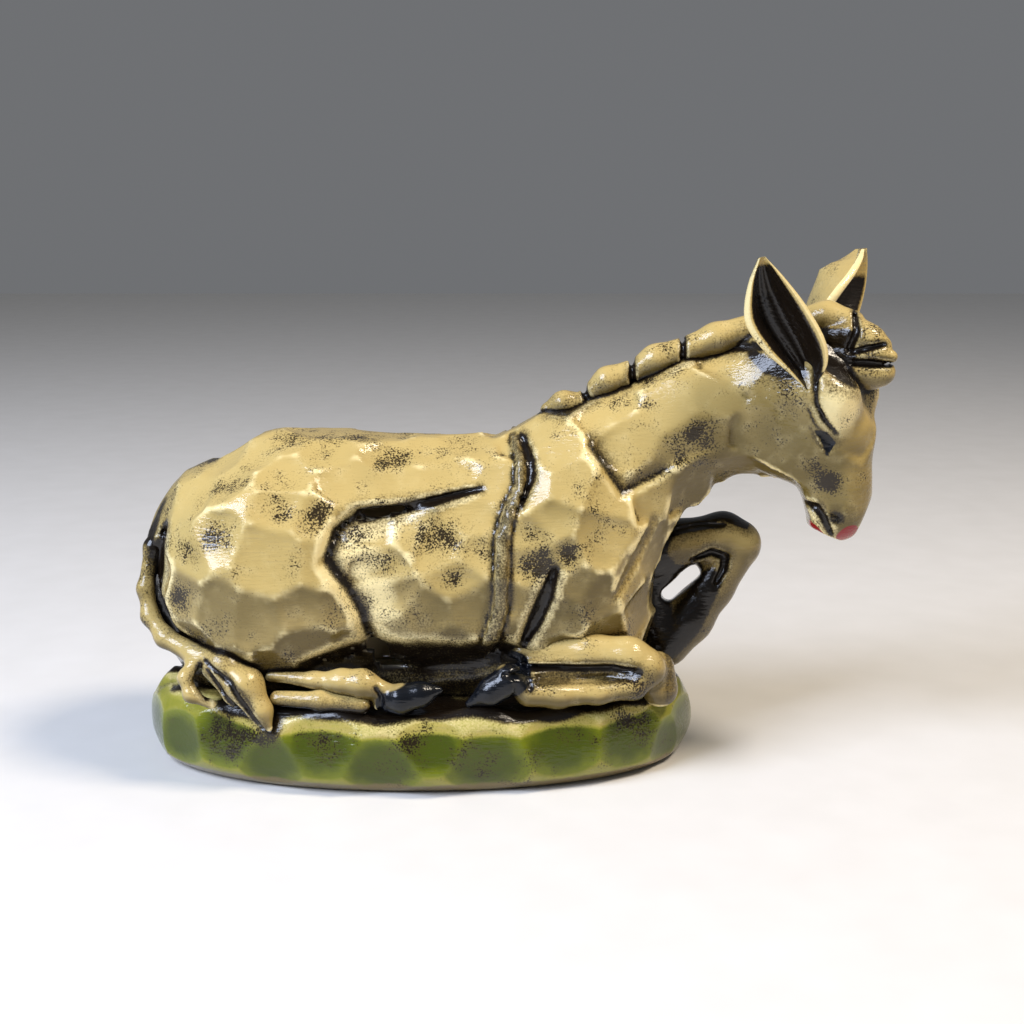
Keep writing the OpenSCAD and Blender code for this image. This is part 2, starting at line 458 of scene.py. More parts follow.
    def carve(self, facets: Optional[Facets], carvings: list[Carving], drift: float = 1.6,
              keep: Optional[Array] = None) -> None:
        """Cuts the facets and strokes into the block, in the layer near its skin.

        Args:
            facets: Knife cuts, or None.
            carvings: Strokes along lines.
            drift: The most that a facet may cut into the skin; it may build it up by three tenths of that.
            keep: Optional grid of shares from 0 to 1 that holds the facets off where it is 1.
        """
        self.facets, self.carvings = facets, carvings
        spots = np.argwhere(np.abs(self.field) < 5.0)
        where = tuple(spots.T)
        points = self.places(spots)
        value = self.field[where]
        if facets is not None:
            flat = np.clip(facets.field(points), value - 0.3 * drift, value + drift)
            hold = 0.0 if keep is None else keep[where]
            value = flat + (value - flat) * hold
        at = cloud_of(points)
        for carving in carvings:
            value = value + carving.work(at)[0]
        self.field[where] = value

    def blur(self, radius: int) -> Array:
        """The clipped distances, averaged again and again with their neighbours along each axis."""
        soft = np.clip(self.field, -4.0, 4.0)
        for _ in range(radius):
            for axis in range(3):
                ahead, back = np.roll(soft, -1, axis), np.roll(soft, 1, axis)
                soft = (ahead + back + 2 * soft) / 4
        return soft


# ---------------------------------------------------------------- meshes


def new_piece(name: str, vertices: Array, faces: Array, material: bpy.types.Material, node: Optional[str],
              body: str = "bank", paint: Optional[dict[str, Array]] = None) -> bpy.types.Object:
    """Makes a mesh object that rides on a body and stands for a CAD node.

    Args:
        name: The piece's name.
        vertices: (n, 3) places in millimetres.
        faces: (m, 4) vertex numbers; a face whose last two are equal is a triangle.
        material: Its finish.
        node: The CAD node that it replaces, or None.
        body: The body that it rides on.
        paint: Values per vertex that the finish reads, by name.

    Returns:
        The object.
    """
    mesh = bpy.data.meshes.new(name)
    mesh.vertices.add(len(vertices))
    mesh.vertices.foreach_set("co", (vertices * MM).astype(np.float32).ravel())
    corners = faces.reshape(len(faces), -1)
    keep = np.ones(corners.shape, bool)
    if corners.shape[1] == 4:
        keep[:, 3] = corners[:, 3] != corners[:, 2]
    sizes = keep.sum(1)
    mesh.loops.add(int(sizes.sum()))
    mesh.loops.foreach_set("vertex_index", corners[keep].astype(np.int32))
    mesh.polygons.add(len(corners))
    mesh.polygons.foreach_set("loop_start", (np.cumsum(sizes) - sizes).astype(np.int32))
    mesh.polygons.foreach_set("loop_total", sizes.astype(np.int32))
    mesh.update(calc_edges=True)
    mesh.validate()
    mesh.shade_smooth()
    for key, values in (paint or {}).items():
        mesh.attributes.new(key, "FLOAT", "POINT").data.foreach_set("value", values.astype(np.float32))
    mesh.materials.append(material)
    piece = bpy.data.objects.new(name, mesh)
    bpy.context.scene.collection.objects.link(piece)
    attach(piece, body)
    if node:
        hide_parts(node)
    LOG.info("%s: %d vertices, %d faces", name, len(vertices), len(faces))
    return piece


def grid_faces(rows: int, columns: int, closed: bool = True) -> Array:
    """Four-sided faces of a grid of points, row by row; closed joins the last column to the first."""
    r = np.arange(rows - 1)[:, None]
    c = np.arange(columns if closed else columns - 1)[None]
    n = (c + 1) % columns
    corners = [r * columns + c, r * columns + n, (r + 1) * columns + n, (r + 1) * columns + c]
    return np.stack(corners, -1).reshape(-1, 4)


def loft(rings: Array) -> tuple[Array, Array]:
    """Skins closed rings, given as (rows, columns, 3), and closes both ends with a point at their mean."""
    rows, columns = rings.shape[:2]
    body = rings.reshape(-1, 3)
    ends = np.stack([rings[0].mean(0), rings[-1].mean(0)])
    c = np.arange(columns)
    n = (c + 1) % columns
    first = np.stack([n, c, np.full(columns, rows * columns), np.full(columns, rows * columns)], 1)
    top = (rows - 1) * columns
    tip = np.full(columns, top + columns + 1)
    last = np.stack([top + c, top + n, tip, tip], 1)
    return np.concatenate([body, ends]), np.concatenate([grid_faces(rows, columns), first, last])


# ---------------------------------------------------------------- finishes


def linear(code: str) -> tuple[float, float, float, float]:
    """An sRGB hex colour as linear red, green, blue and 1."""
    parts = [int(code[i:i + 2], 16) / 255 for i in (1, 3, 5)]
    return tuple(p / 12.92 if p <= 0.04045 else ((p + 0.055) / 1.055) ** 2.4 for p in parts) + (1.0,)


def add_node(tree: bpy.types.NodeTree, kind: str, links: Optional[dict] = None,
             sockets: Optional[dict] = None,
             **settings: object) -> bpy.types.Node:
    """Adds a node to a material.

    Args:
        tree: The material's node tree.
        kind: The node's type.
        links: Input sockets, by name or number, and the output socket that each is fed from.
        sockets: Input sockets, by name or number, and the value that each is set to.
        settings: The node's own settings.

    Returns:
        The node.
    """
    node = tree.nodes.new(kind)
    for key, value in settings.items():
        setattr(node, key, value)
    for key, value in (sockets or {}).items():
        node.inputs[key].default_value = value
    for key, source in (links or {}).items():
        tree.links.new(source, node.inputs[key])
    return node


Socket = bpy.types.NodeSocket
Maker = Callable[..., Socket]
Number = Union[Socket, float]
Colour = Union[Socket, tuple[float, ...]]


def empty_material(name: str) -> bpy.types.Material:
    """A material whose node tree holds nothing yet."""
    material = bpy.data.materials.new(name)
    material.use_nodes = True
    material.node_tree.nodes.clear()
    return material


@dataclass(frozen=True)
class VarnishedPaint:
    """Brushed oil paint on a cast plaster-like body, antiqued with umber and varnished.

    The pale coat goes on first. Umber is washed into the hollows and sponged on in stippled patches, and
    is wiped off the ridges, so the eye sees grain a fraction of a millimetre wide in the patches. Painted
    shade darkens faces that look down, broad hollows and the skin round strokes and joints, and ridges and
    brows carry a painted highlight. Gloss varnish over all of it gives small sharp highlights on every
    knife cut.
    """

    name: str
    coat: str = "#BEA566"
    # The painted shade's colour, for faces that look down and for broad hollows.
    shade: str = "#66562A"
    # The pale of rubbed ridges and of the painted highlights.
    pale: str = "#EAD69B"
    glaze: str = "#4E4020"
    umber: str = "#150E07"
    sponge: str = "#1E1408"
    ink: str = "#070A10"
    red: str = "#8A0E18"
    slip: str = "#CFC5AE"
    grain_mm: float = 0.45
    mottle_mm: float = 4.0
    blot_mm: float = 9.0
    cloud_mm: float = 22.0
    brush_mm: float = 0.7
    varnish: float = 0.11

    def build(self) -> bpy.types.Material:
        """Makes the material from the paint values that each vertex holds."""
        material = empty_material(self.name)
        tree = material.node_tree
        place = add_node(tree, "ShaderNodeTexCoord").outputs["Object"]

        def value(key: str) -> Socket:
            """The vertices' paint value of that name."""
            return add_node(tree, "ShaderNodeAttribute", attribute_name=key).outputs["Fac"]

        def noise(size_mm: float, detail: float = 2.0) -> Socket:
            """Noise whose grains are about size_mm apart."""
            return add_node(tree, "ShaderNodeTexNoise", {"Vector": place},
                            {"Scale": 1.0 / (size_mm * MM), "Detail": detail}).outputs["Fac"]

        def math_node(kind: str, a: Number, b: Number) -> Socket:
            """a and b, each a socket or a number, put through one operation."""
            links = {i: s for i, s in enumerate((a, b)) if not isinstance(s, float)}
            numbers = {i: s for i, s in enumerate((a, b)) if isinstance(s, float)}
            return add_node(tree, "ShaderNodeMath", links, numbers, operation=kind).outputs[0]

        def ramp(source: Socket, low: float, high: float) -> Socket:
            """0 below low and 1 above high, smoothly between."""
            return add_node(tree, "ShaderNodeMapRange", {"Value": source},
                            {"From Min": low, "From Max": high}, interpolation_type="SMOOTHSTEP").outputs[0]

        def blend(share: Socket, first: Colour, second: Colour) -> Socket:
            """From the first colour to the second by a share."""
            links = {0: share}
            numbers = {}
            for slot, colour in ((6, first), (7, second)):
                (numbers if isinstance(colour, tuple) else links)[slot] = colour
            return add_node(tree, "ShaderNodeMix", links, numbers, data_type="RGBA").outputs[2]

        grain, mottle, cloud = noise(self.grain_mm, 3.0), noise(self.mottle_mm), noise(self.cloud_mm, 3.0)
        wash_and_shade, patch, rub = value("wash_and_shade"), value("patch"), value("rub")
        # Painted shade: faces that look down and broad hollows turn to the shade colour, over a random cloud
        # of tone.
        shade_and_tone = math_node("ADD", math_node("MULTIPLY", cloud, 0.7), math_node("MULTIPLY", value("shade"), 0.9))
        body = blend(ramp(shade_and_tone, 0.3, 1.05), linear(self.coat), linear(self.shade))
        # Rubbed ridges and painted highlights, over a random mottle, turn pale.
        body = blend(ramp(math_node("ADD", rub, math_node("MULTIPLY", mottle, 0.7)), 0.3, 1.1), body,
                     linear(self.pale))
        body = self.tint(value, blend, ramp, math_node, body, mottle, grain)
        # Umber wash and painted shade: a thin glaze where faint, opaque umber where strong.
        thin = math_node("ADD", math_node("MULTIPLY", wash_and_shade, 1.2), math_node("MULTIPLY", mottle, 0.4))
        thin = math_node("ADD", thin, math_node("MULTIPLY", grain, 0.8))
        body = blend(math_node("MULTIPLY", ramp(thin, 0.75, 1.35), 0.85), body, linear(self.glaze))
        blot = math_node("MULTIPLY", math_node("SUBTRACT", noise(self.blot_mm, 1.0), 0.5), 2.4)
        dots = math_node("ADD", math_node("MULTIPLY", patch, 1.25), blot)
        dots = math_node("ADD", dots, math_node("MULTIPLY", math_node("SUBTRACT", mottle, 0.5), 1.8))
        dots = math_node("ADD", dots, math_node("MULTIPLY", math_node("SUBTRACT", grain, 0.5), 3.2))
        body = blend(math_node("MULTIPLY", ramp(dots, 0.25, 1.0), 0.45), body, linear(self.glaze))
        body = blend(math_node("MULTIPLY", ramp(dots, 0.74, 1.12), 0.95), body, linear(self.sponge))
        colour = blend(ramp(thin, 1.15, 1.6), body, linear(self.umber))
        colour = blend(ramp(value("ink"), 0.35, 0.6), colour, linear(self.ink))
        colour = blend(ramp(value("lip"), 0.35, 0.65), colour, linear(self.red))
        colour = blend(value("bare"), colour, linear(self.slip))
        along = add_node(tree, "ShaderNodeMapping", {"Vector": place},
                         {"Rotation": (0.0, 0.6, 0.3), "Scale": (0.16, 1.0, 1.0)}).outputs[0]
        brush = add_node(tree, "ShaderNodeTexNoise", {"Vector": along},
                         {"Scale": 1.0 / (self.brush_mm * MM), "Detail": 1.0}).outputs["Fac"]
        relief = math_node("ADD", math_node("MULTIPLY", grain, 0.4), math_node("MULTIPLY", brush, 0.9))
        bump = add_node(tree, "ShaderNodeBump", {"Height": relief}, {"Strength": 0.8, "Distance": 0.16 * MM})
        rough = math_node("ADD", math_node("MULTIPLY", value("bare"), 0.35), 0.45)
        shader = add_node(tree, "ShaderNodeBsdfPrincipled",
                          {"Base Color": colour, "Roughness": rough, "Normal": bump.outputs[0],
                           "Coat Normal": bump.outputs[0],
                           "Coat Weight": math_node("SUBTRACT", 1.0, value("bare"))},
                          {"Coat Roughness": self.varnish, "Coat IOR": 1.4, "IOR": 1.45,
                           "Specular IOR Level": 0.1})
        add_node(tree, "ShaderNodeOutputMaterial", {"Surface": shader.outputs[0]})
        return material

    def tint(self, value: Maker, blend: Maker, ramp: Maker, math_node: Maker, body: Socket, mottle: Socket,
             grain: Socket) -> Socket:
        """Gives the coat's colour as it is: a plinth paints more over it."""
        return body


@dataclass(frozen=True)
class MossPaint(VarnishedPaint):
    """The plinth's coat: moss green brushed over the cream, darker in its hollows, with a painted highlight
    of lime on the ridges between them and a bare foot.
    """

    moss: str = "#6C7310"
    deep: str = "#404A08"
    # Lime: the yellow band under the rim, and the painted highlight on the ridges between scoops.
    lime: str = "#9F973F"
    foot: str = "#756642"

    def tint(self, value: Maker, blend: Maker, ramp: Maker, math_node: Maker, body: Socket, mottle: Socket,
             grain: Socket) -> Socket:
        """Lays the green over the cream where the vertices ask for it."""
        green = blend(ramp(math_node("ADD", value("hollow"), math_node("MULTIPLY", mottle, 0.5)), 0.3, 1.05),
                      linear(self.moss), linear(self.deep))
        # Painted highlight: lime on the ridges between the scoops.
        green = blend(ramp(math_node("ADD", value("rub"), math_node("MULTIPLY", mottle, 0.5)), 0.4, 1.2),
                      green,
                      linear(self.lime))
        edge = math_node("ADD", value("moss"), math_node("MULTIPLY", math_node("SUBTRACT", grain, 0.5), 0.35))
        edge = math_node("ADD", edge, math_node("MULTIPLY", math_node("SUBTRACT", mottle, 0.5), 0.3))
        yellow = blend(ramp(edge, 0.02, 0.5), body, linear(self.lime))
        painted = blend(ramp(edge, 0.35, 0.95), yellow, green)
        low = math_node("ADD", value("foot"), math_node("MULTIPLY", math_node("SUBTRACT", mottle, 0.5), 0.6))
        return blend(ramp(low, 0.35, 0.8), painted, linear(self.foot))


@dataclass(frozen=True)
class MouldedRubber:
    """Black moulded rubber: a matt skin with a faint grain, so the eye sees broad soft highlights."""

    name: str = "black_moulded_rubber"
    black: str = "#161616"
    bloom: str = "#2C2B29"

    def build(self) -> bpy.types.Material:
        """Makes the material, with a grey bloom in patches a few millimetres wide."""
        material = empty_material(self.name)
        tree = material.node_tree
        place = add_node(tree, "ShaderNodeTexCoord").outputs["Object"]
        patch = add_node(tree, "ShaderNodeTexNoise", {"Vector": place},
                         {"Scale": 1 / (6 * MM), "Detail": 4.0})
        skin = add_node(tree, "ShaderNodeTexNoise", {"Vector": place},
                        {"Scale": 1 / (0.5 * MM), "Detail": 2.0})
        share = add_node(tree, "ShaderNodeMapRange", {"Value": patch.outputs["Fac"]},
                         {"From Min": 0.4, "From Max": 0.75})
        colour = add_node(tree, "ShaderNodeMix", {0: share.outputs[0]},
                          {6: linear(self.black), 7: linear(self.bloom)}, data_type="RGBA")
        bump = add_node(tree, "ShaderNodeBump", {"Height": skin.outputs["Fac"]},
                        {"Strength": 0.3, "Distance": 0.05 * MM})
        rough = add_node(tree, "ShaderNodeMapRange", {"Value": patch.outputs["Fac"]},
                         {"To Min": 0.5, "To Max": 0.75})
        shader = add_node(tree, "ShaderNodeBsdfPrincipled",
                          {"Base Color": colour.outputs[2], "Roughness": rough.outputs[0],
                           "Normal": bump.outputs[0]}, {"IOR": 1.52})
        add_node(tree, "ShaderNodeOutputMaterial", {"Surface": shader.outputs[0]})
        return material


# ---------------------------------------------------------------- castings

PLINTH_LOW, PLINTH_HIGH = (np.array(corner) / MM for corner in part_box("base_shell"))
GROUND = float(PLINTH_HIGH[2])
EYE_LINE: Triple = (0.0, 0.9755, -0.2198)
BOARD_Y = -25.0


Paint = dict[str, Array]


def raise_to(paint: Paint, key: str, value: Array) -> None:
    """Makes one of the paint values at least as high as value, everywhere."""
    paint[key] = np.maximum(paint[key], value)


@dataclass
class Casting:
    """One carved casting: how it is shaped, cut and painted."""

    name: str
    node: str
    near: list["Casting"] = field(default_factory=list)
    block: Optional[Block] = None
    contact: float = 2.4

    def set_out(self) -> None:
        """Lays out the casting's block: each kind of casting has its own."""
        raise NotImplementedError

    def near_gap(self, points: Array) -> Array:
        """Distance from (n, 3) places to the nearest neighbouring casting."""
        gap = np.full(len(points), 50.0, np.float32)
        for other in self.near:
            gap = np.minimum(gap, other.block.reach(points))
        return gap

    def paint(self, points: Array) -> Paint:
        """The paint values at (n, 3) places on the skin.

        The wash is umber where a stroke was cut, in small hollows and where another casting touches, and
        painted shade over broad hollows, round the strokes and a few millimetres round each joint. The rub
        value is high on ridges, as rubbed paint and painted highlight. Shade is painted shade on faces that
        look down and in broad hollows.
        """
        block = self.block
        fine, broad = block.sample(points, block.blur(3)), block.sample(points, block.blur(14))
        # Umber in small hollows, and painted shade over broad ones.
        wash_and_shade = 0.75 * smooth(0.05, 0.5, -fine) + 0.45 * smooth(0.3, 1.4, -broad)
        at = cloud_of(points)
        for carving in block.carvings:
            wash_and_shade = np.maximum(wash_and_shade, carving.work(at)[1])
        gap = self.near_gap(points)
        # Umber at each joint, and a broader painted shade a few millimetres round it.
        touch = np.maximum(0.95 * smooth(self.contact, 0.2, gap), 0.35 * smooth(7.0, 1.5, gap))
        wash_and_shade = np.maximum(wash_and_shade, touch * self.seam(at))
        slope = block.slope(points, 1.2)
        down = -slope[:, 2] / np.maximum(np.linalg.norm(slope, axis=1), 0.1)
        # Ridges are pale, as rubbed paint and painted highlight; the shade value is painted shade on faces
        # that look down and in broad hollows.
        paint = {"wash_and_shade": wash_and_shade, "rub": smooth(0.12, 0.45, fine),
                 "shade": 0.9 * smooth(-0.5, 0.6, down) + 0.6 * smooth(0.0, 0.5, -broad)}
        paint["patch"] = block.facets.sponge(points) if block.facets else np.zeros(len(points), np.float32)
        for key in ("ink", "lip", "bare"):
            paint[key] = np.zeros(len(points), np.float32)
        self.touch_up(points, paint)
        return paint

    def seam(self, at: Cloud) -> Array:
        """How much umber and painted shade stay where castings touch: little where the forearm runs into the
        shoulder.
        """
        shoulder = smooth(31.5, 34.0, at.z) * smooth(-2.0, 4.0, at.x) * smooth(46.0, 40.0, at.x)
        return 1.0 - 0.75 * shoulder * smooth(-8.0, -12.0, at.y)

    def touch_up(self, points: Array, paint: Paint) -> None:
        """Lets a kind of casting change its own paint values."""

    def build(self, material: bpy.types.Material, slot: str) -> bpy.types.Object:
        """Skins the block, paints it and makes the piece."""
        points, faces = self.block.skin()
        slope = self.block.slope(points)
        size = np.maximum((slope ** 2).sum(1, keepdims=True), 0.25)
        shift = self.block.sample(points)[:, None] * slope / size
        points = points - np.clip(shift, -0.4, 0.4)
        return new_piece(self.name, points, faces, material, self.node, paint=self.paint(points))


def knife_cuts(block: Block, cuts: list[Facet], spacing: float, seed: int, depth: float = 0.45) -> Facets:
    """Sets out a casting's knife cuts: the named ones on both flanks, and even ones wherever none is near.

    The named cuts are set out on an upright board on the near side, and are carried onto the block along
    a line that drops by about 2 in 9.

    Args:
        block: The block, before it is cut.
        cuts: The named cuts.
        spacing: Least distance between the even cuts, in millimetres.
        seed: Starts the draw of the even cuts.
        depth: How hollow an even cut is.

    Returns:
        The cuts, each with its plane.
    """
    rng = np.random.default_rng(seed)
    rows = []
    if cuts:
        board = np.array([[c.x, BOARD_Y, c.z] for c in cuts], np.float32)
        start = board - 45.0 * np.array(EYE_LINE, np.float32)
        spots, met = block.cast(start, EYE_LINE, 90.0)
        values = np.array([[c.size, c.deep, c.sponge] for c in cuts], np.float32)
        near = np.concatenate([spots, values], 1)[met]
        far = near * np.array([1, -1, 1, 1, 1, 0.85], np.float32)
        rows += [near, far]
    index = np.argwhere(np.abs(block.field) < 0.7)
    crowd = block.places(index)
    crowd = crowd[rng.permutation(len(crowd))[:6000]]
    placed = np.concatenate(rows)[:, :3] if rows else np.full((1, 3), 1e3, np.float32)
    free = np.sqrt(((crowd[:, None] - placed[None]) ** 2).sum(2)).min(1)
    extra = []
    while free.max() > spacing:
        pick = int(rng.choice(np.flatnonzero(free > 0.8 * spacing)))
        extra.append(crowd[pick])
        free = np.minimum(free, np.sqrt(((crowd - crowd[pick]) ** 2).sum(1)))
    if extra:
        spots = np.array(extra, np.float32)
        values = np.stack([spacing * rng.uniform(0.6, 1.0, len(spots)),
                           rng.uniform(0.5, 1.2, len(spots)) * depth,
                           np.where(rng.random(len(spots)) < 0.3, rng.uniform(0.3, 0.8, len(spots)), 0.0)], 1)
        rows.append(np.concatenate([spots, values.astype(np.float32)], 1))
    table = np.concatenate(rows)
    spots = table[:, :3]
    for _ in range(3):
        slope = block.slope(spots, 1.5)
        slope /= np.maximum(np.linalg.norm(slope, axis=1, keepdims=True), 1e-6)
        spots = spots - block.sample(spots)[:, None] * slope
    return Facets(spots, slope, table[:, 3], table[:, 4], table[:, 5])


@dataclass
class HeadFrame:
    """The head's own frame: x points along the face, turned towards the near side."""

    root: Pair = (67.6, -1.5)
    yaw: float = -30.0

    def enter(self, at: Cloud) -> Cloud:
        """Places of the figure, as the head's frame has them."""
        c, s = math.cos(math.radians(self.yaw)), math.sin(math.radians(self.yaw))
        x, y = at.x - self.root[0], at.y - self.root[1]
        return Cloud(x * c + y * s, y * c - x * s, at.z)

    def leave(self, points: Array) -> Array:
        """Places in the head's frame, as the figure's frame has them."""
        c, s = math.cos(math.radians(self.yaw)), math.sin(math.radians(self.yaw))
        return np.stack([points[:, 0] * c - points[:, 1] * s + self.root[0],
                         points[:, 0] * s + points[:, 1] * c + self.root[1], points[:, 2]], 1)


@dataclass
class Figure(Casting):
    """The donkey's hollow body with its neck and head, and the coin slot in its back."""

    wall: float = 4.5
    slot_at: Pair = (-21.0, 8.0)
    slot_size: Pair = (36.0, 5.0)
    head: HeadFrame = field(default_factory=HeadFrame)
    hollow: Optional[Array] = None

    DEEPER = 1.7  # how much deeper the cuts are on the body than the table gives
    HOLLOW_END = 36.0  # how far forward the hollow runs, in the chest
    SLOT_FLOOR = 70.0  # height that the slot is cut down to

    # Across the trunk: x, half-width, bottom, top.
    TRUNK = [(-82, 20, 22, 73.5), (-75, 23.5, 18, 78), (-68, 26, 14, 82.3), (-61, 27.5, 11, 85),
             (-46, 28, 10, 86),
             (-34, 26.5, 10, 85), (-20, 26, 10, 84), (-7, 25.5, 10, 84.6), (5, 24.5, 10, 87.2),
             (14, 22, 12, 89)]

    CUTS = [
        Facet(-56, 88, 7, .5, .45), Facet(-45, 85, 6, .5, .4), Facet(-29, 84, 7.5, .7, .95),
        Facet(-11, 87, 6, .4, .6), Facet(-20, 85, 7, .4, .35), Facet(-69, 76, 8, .6, .6),
        Facet(-55, 78, 6, .5, .45), Facet(-62, 85, 7, .5), Facet(-77, 74, 8, .5, .15), Facet(-39, 77, 8, .6),
        Facet(-27, 77, 8, .5), Facet(-16, 78, 8, .5), Facet(-71, 63.5, 7.5, .7, .75),
        Facet(-77, 58.5, 6, .5, .5),
        Facet(-83, 63.5, 7, .5), Facet(-55, 70.5, 6, .8, .8), Facet(-47, 67.5, 5.5, .7, .75),
        Facet(-57, 58.5, 11, .7), Facet(-45, 58.5, 8, .5), Facet(-80, 48.5, 8.5, .7, .8),
        Facet(-71, 44.5, 9, .5, .1),
        Facet(-61, 42.5, 8, .5, .1), Facet(-50, 44.5, 7, .5, .2), Facet(-41, 45, 6, .5, .6),
        Facet(-17, 62, 8, .9, .95), Facet(-8, 60, 5, .6, .5), Facet(-13, 53.5, 5.5, .6, .65),
        Facet(-32, 56, 7, .9, .95), Facet(-29, 48, 7, .8), Facet(-23, 65, 6, .3), Facet(-9, 69, 8, .6),
        Facet(-2, 75, 6, .4), Facet(-21, 43, 9, .7, .15), Facet(-16, 36, 7, .5, .5),
        Facet(-27, 40, 7, .5, .4),
        Facet(-9, 45, 7, .5, .1), Facet(6, 76.5, 6, .5, .2), Facet(12, 84.5, 7, .5), Facet(15, 77.5, 7, .5),
        Facet(11, 67.5, 6, .5), Facet(7, 63.5, 5, .5, .4), Facet(7, 56.5, 6.5, .7, .95),
        Facet(14, 59, 4.5, .5, .7),
        Facet(22, 63.5, 9, .6), Facet(24, 73.5, 7, .5), Facet(17, 50.5, 7, .4, .1), Facet(2, 46.5, 6, .4),
        Facet(14, 43.5, 7, .4), Facet(22, 47.5, 8, .4, .15), Facet(30, 52.5, 7, .4, .1),
        Facet(35, 58.5, 6, .4, .1),
        Facet(31, 87.5, 8, .3), Facet(40, 96.5, 8, .3), Facet(48, 89.5, 8.5, .3, .75),
        Facet(41, 85, 6, .3, .6),
        Facet(61, 89.5, 9, .3, .55), Facet(51, 99, 8, .3), Facet(68, 101, 4, .3, .35),
        Facet(70, 95.5, 5, .3, .65),
        Facet(56, 81, 8, .2, .15), Facet(36, 76.5, 7, .3), Facet(24, 96.5, 7, .3, .2),
        Facet(75, 80, 5, .2, .65),
        Facet(78, 77, 5.5, .2, .8), Facet(79, 103, 5, .5, .75)]

    STROKES = [
        # The crease of the flank, and the front edge of the thigh over the belly.
        Carving(((-36, 67.5), (-27, 69), (-17, 71.4), (-7, 73.7)), (2.4, 1.8, 1.3, 0.9), 2.0),
        Carving(((-34, 36), (-36, 45), (-39, 51), (-44, 58), (-42, 64.5), (-36, 68.5), (-27, 69)),
                (3.0, 3.2, 2.0),
                3.4, Stroke.STEP, 1.0, 5.5),
        # The girth's band, and the slit behind the shoulder.
        Carving(((1.3, 84.5), (3.0, 79.5), (2.8, 75), (0, 69), (-1.5, 63), (-1.6, 56), (-2, 46), (-5, 35)),
                (1.0, 1.7, 2.0, 2.1), 1.2, Stroke.RIB, 1.0),
        Carving(((3.4, 85), (5.4, 80.5), (5.3, 76), (3.0, 70.5)), (1.1, 1.4, 0.8), 1.5),
        Carving(((11.4, 55.5), (9.2, 48.5), (6.2, 41), (3.6, 35.5)), (1.2, 2.5, 2.6, 1.3), 2.6),
        # The hollow below the crest, the fold of the chest and the crease of the elbow.
        Carving(((38, 77.5), (28, 73), (20, 84.5)), (1.6, 2.2, 2.2), 1.7, Stroke.STEP, 0.85, 6.0),
        Carving(((36, 66), (33, 60), (30, 54), (26, 47)), (1.0, 1.8, 1.2), 1.2, wash_and_shade=0.4),
        Carving(((12, 37.2), (18, 36.6), (30, 36)), (0.8, 1.0, 0.7), 0.6, wash_and_shade=0.5),
        # The dark hollow between the belly and the folded legs.
        Carving(((-50, 30), (-38, 32), (-26, 31), (-12, 31), (-2, 33), (6, 31)), (3.0, 6.0, 7.0, 5.5, 3.0),
                3.0, wash_and_shade=0.85),
        # The deep groove between the tail and the rump.
        Carving(((-85.5, 64), (-87.5, 57), (-89, 47), (-87.3, 41), (-83.5, 37), (-77, 33.5), (-71, 31.5)),
                (1.2, 2.4, 2.6, 2.4, 1.6), 1.8, flank=Flank.NEAR),
        # Beneath the mane.
        # Painted shade in the recess below the ear's root: dark, with no cut.
        Carving(((60, 106), (63, 103.4), (67, 102.6), (70, 102.6)), (1.6, 2.6, 2.2), 0.0, wash_and_shade=0.9,
                flank=Flank.NEAR),
        Carving(((8, 91), (14, 91.5), (20, 94.5), (30, 99.5), (43, 104.8), (62, 108)), (1.0, 1.5, 1.5, 1.2),
                1.2)]

    FACE = [
        # On the head, along the face and up: eyelid, eye, socket, nostril, mouth and the hollow of the brow.
        Carving(((13.8, 104), (14.4, 99.5), (15.0, 95.5), (16.8, 91.8), (19.4, 88.0)),
                (1.2, 0.9, 0.7, 0.7, 0.4), 1.1),
        Carving(((15.0, 88.4), (16.6, 87.3), (17.6, 86.0), (17.2, 83.2)), (0.5, 1.5, 1.5, 0.5), 1.0),
        Carving(((12.8, 94), (14.6, 90.3), (16.2, 88.9)), (0.4, 0.5, 0.4), 0.7, wash_and_shade=0.75),
        Carving(((13.4, 89.4), (14.6, 86.3), (16.0, 84.6)), (0.4, 0.5, 0.4), 0.5, wash_and_shade=0.55),
        Carving(((19.1, 66.9), (19.7, 66.6)), (2.2, 2.2), 1.6, wash_and_shade=0.8),
        Carving(((11.5, 69.6), (14.5, 69.1), (16.4, 66.6), (17.8, 62.4)), (1.0, 1.4, 1.2, 0.8), 1.5),
        Carving(((11.5, 108.5), (16.5, 105.5), (21.5, 102), (26, 98.8)), (2.0, 3.0, 2.6, 1.6), 1.6)]

    # In the head's frame: the red of the lips and the middle of each brow's painted highlight. In the
    # figure's: the middle of the cheek's painted shade.
    LIPS = [(13.2, -6.4, 61.8), (21.4, -4.2, 61.8), (21.4, 4.2, 61.8)]
    BROW = (18.5, 9.5, 94.5)
    CHEEK = (66.0, 88.0)

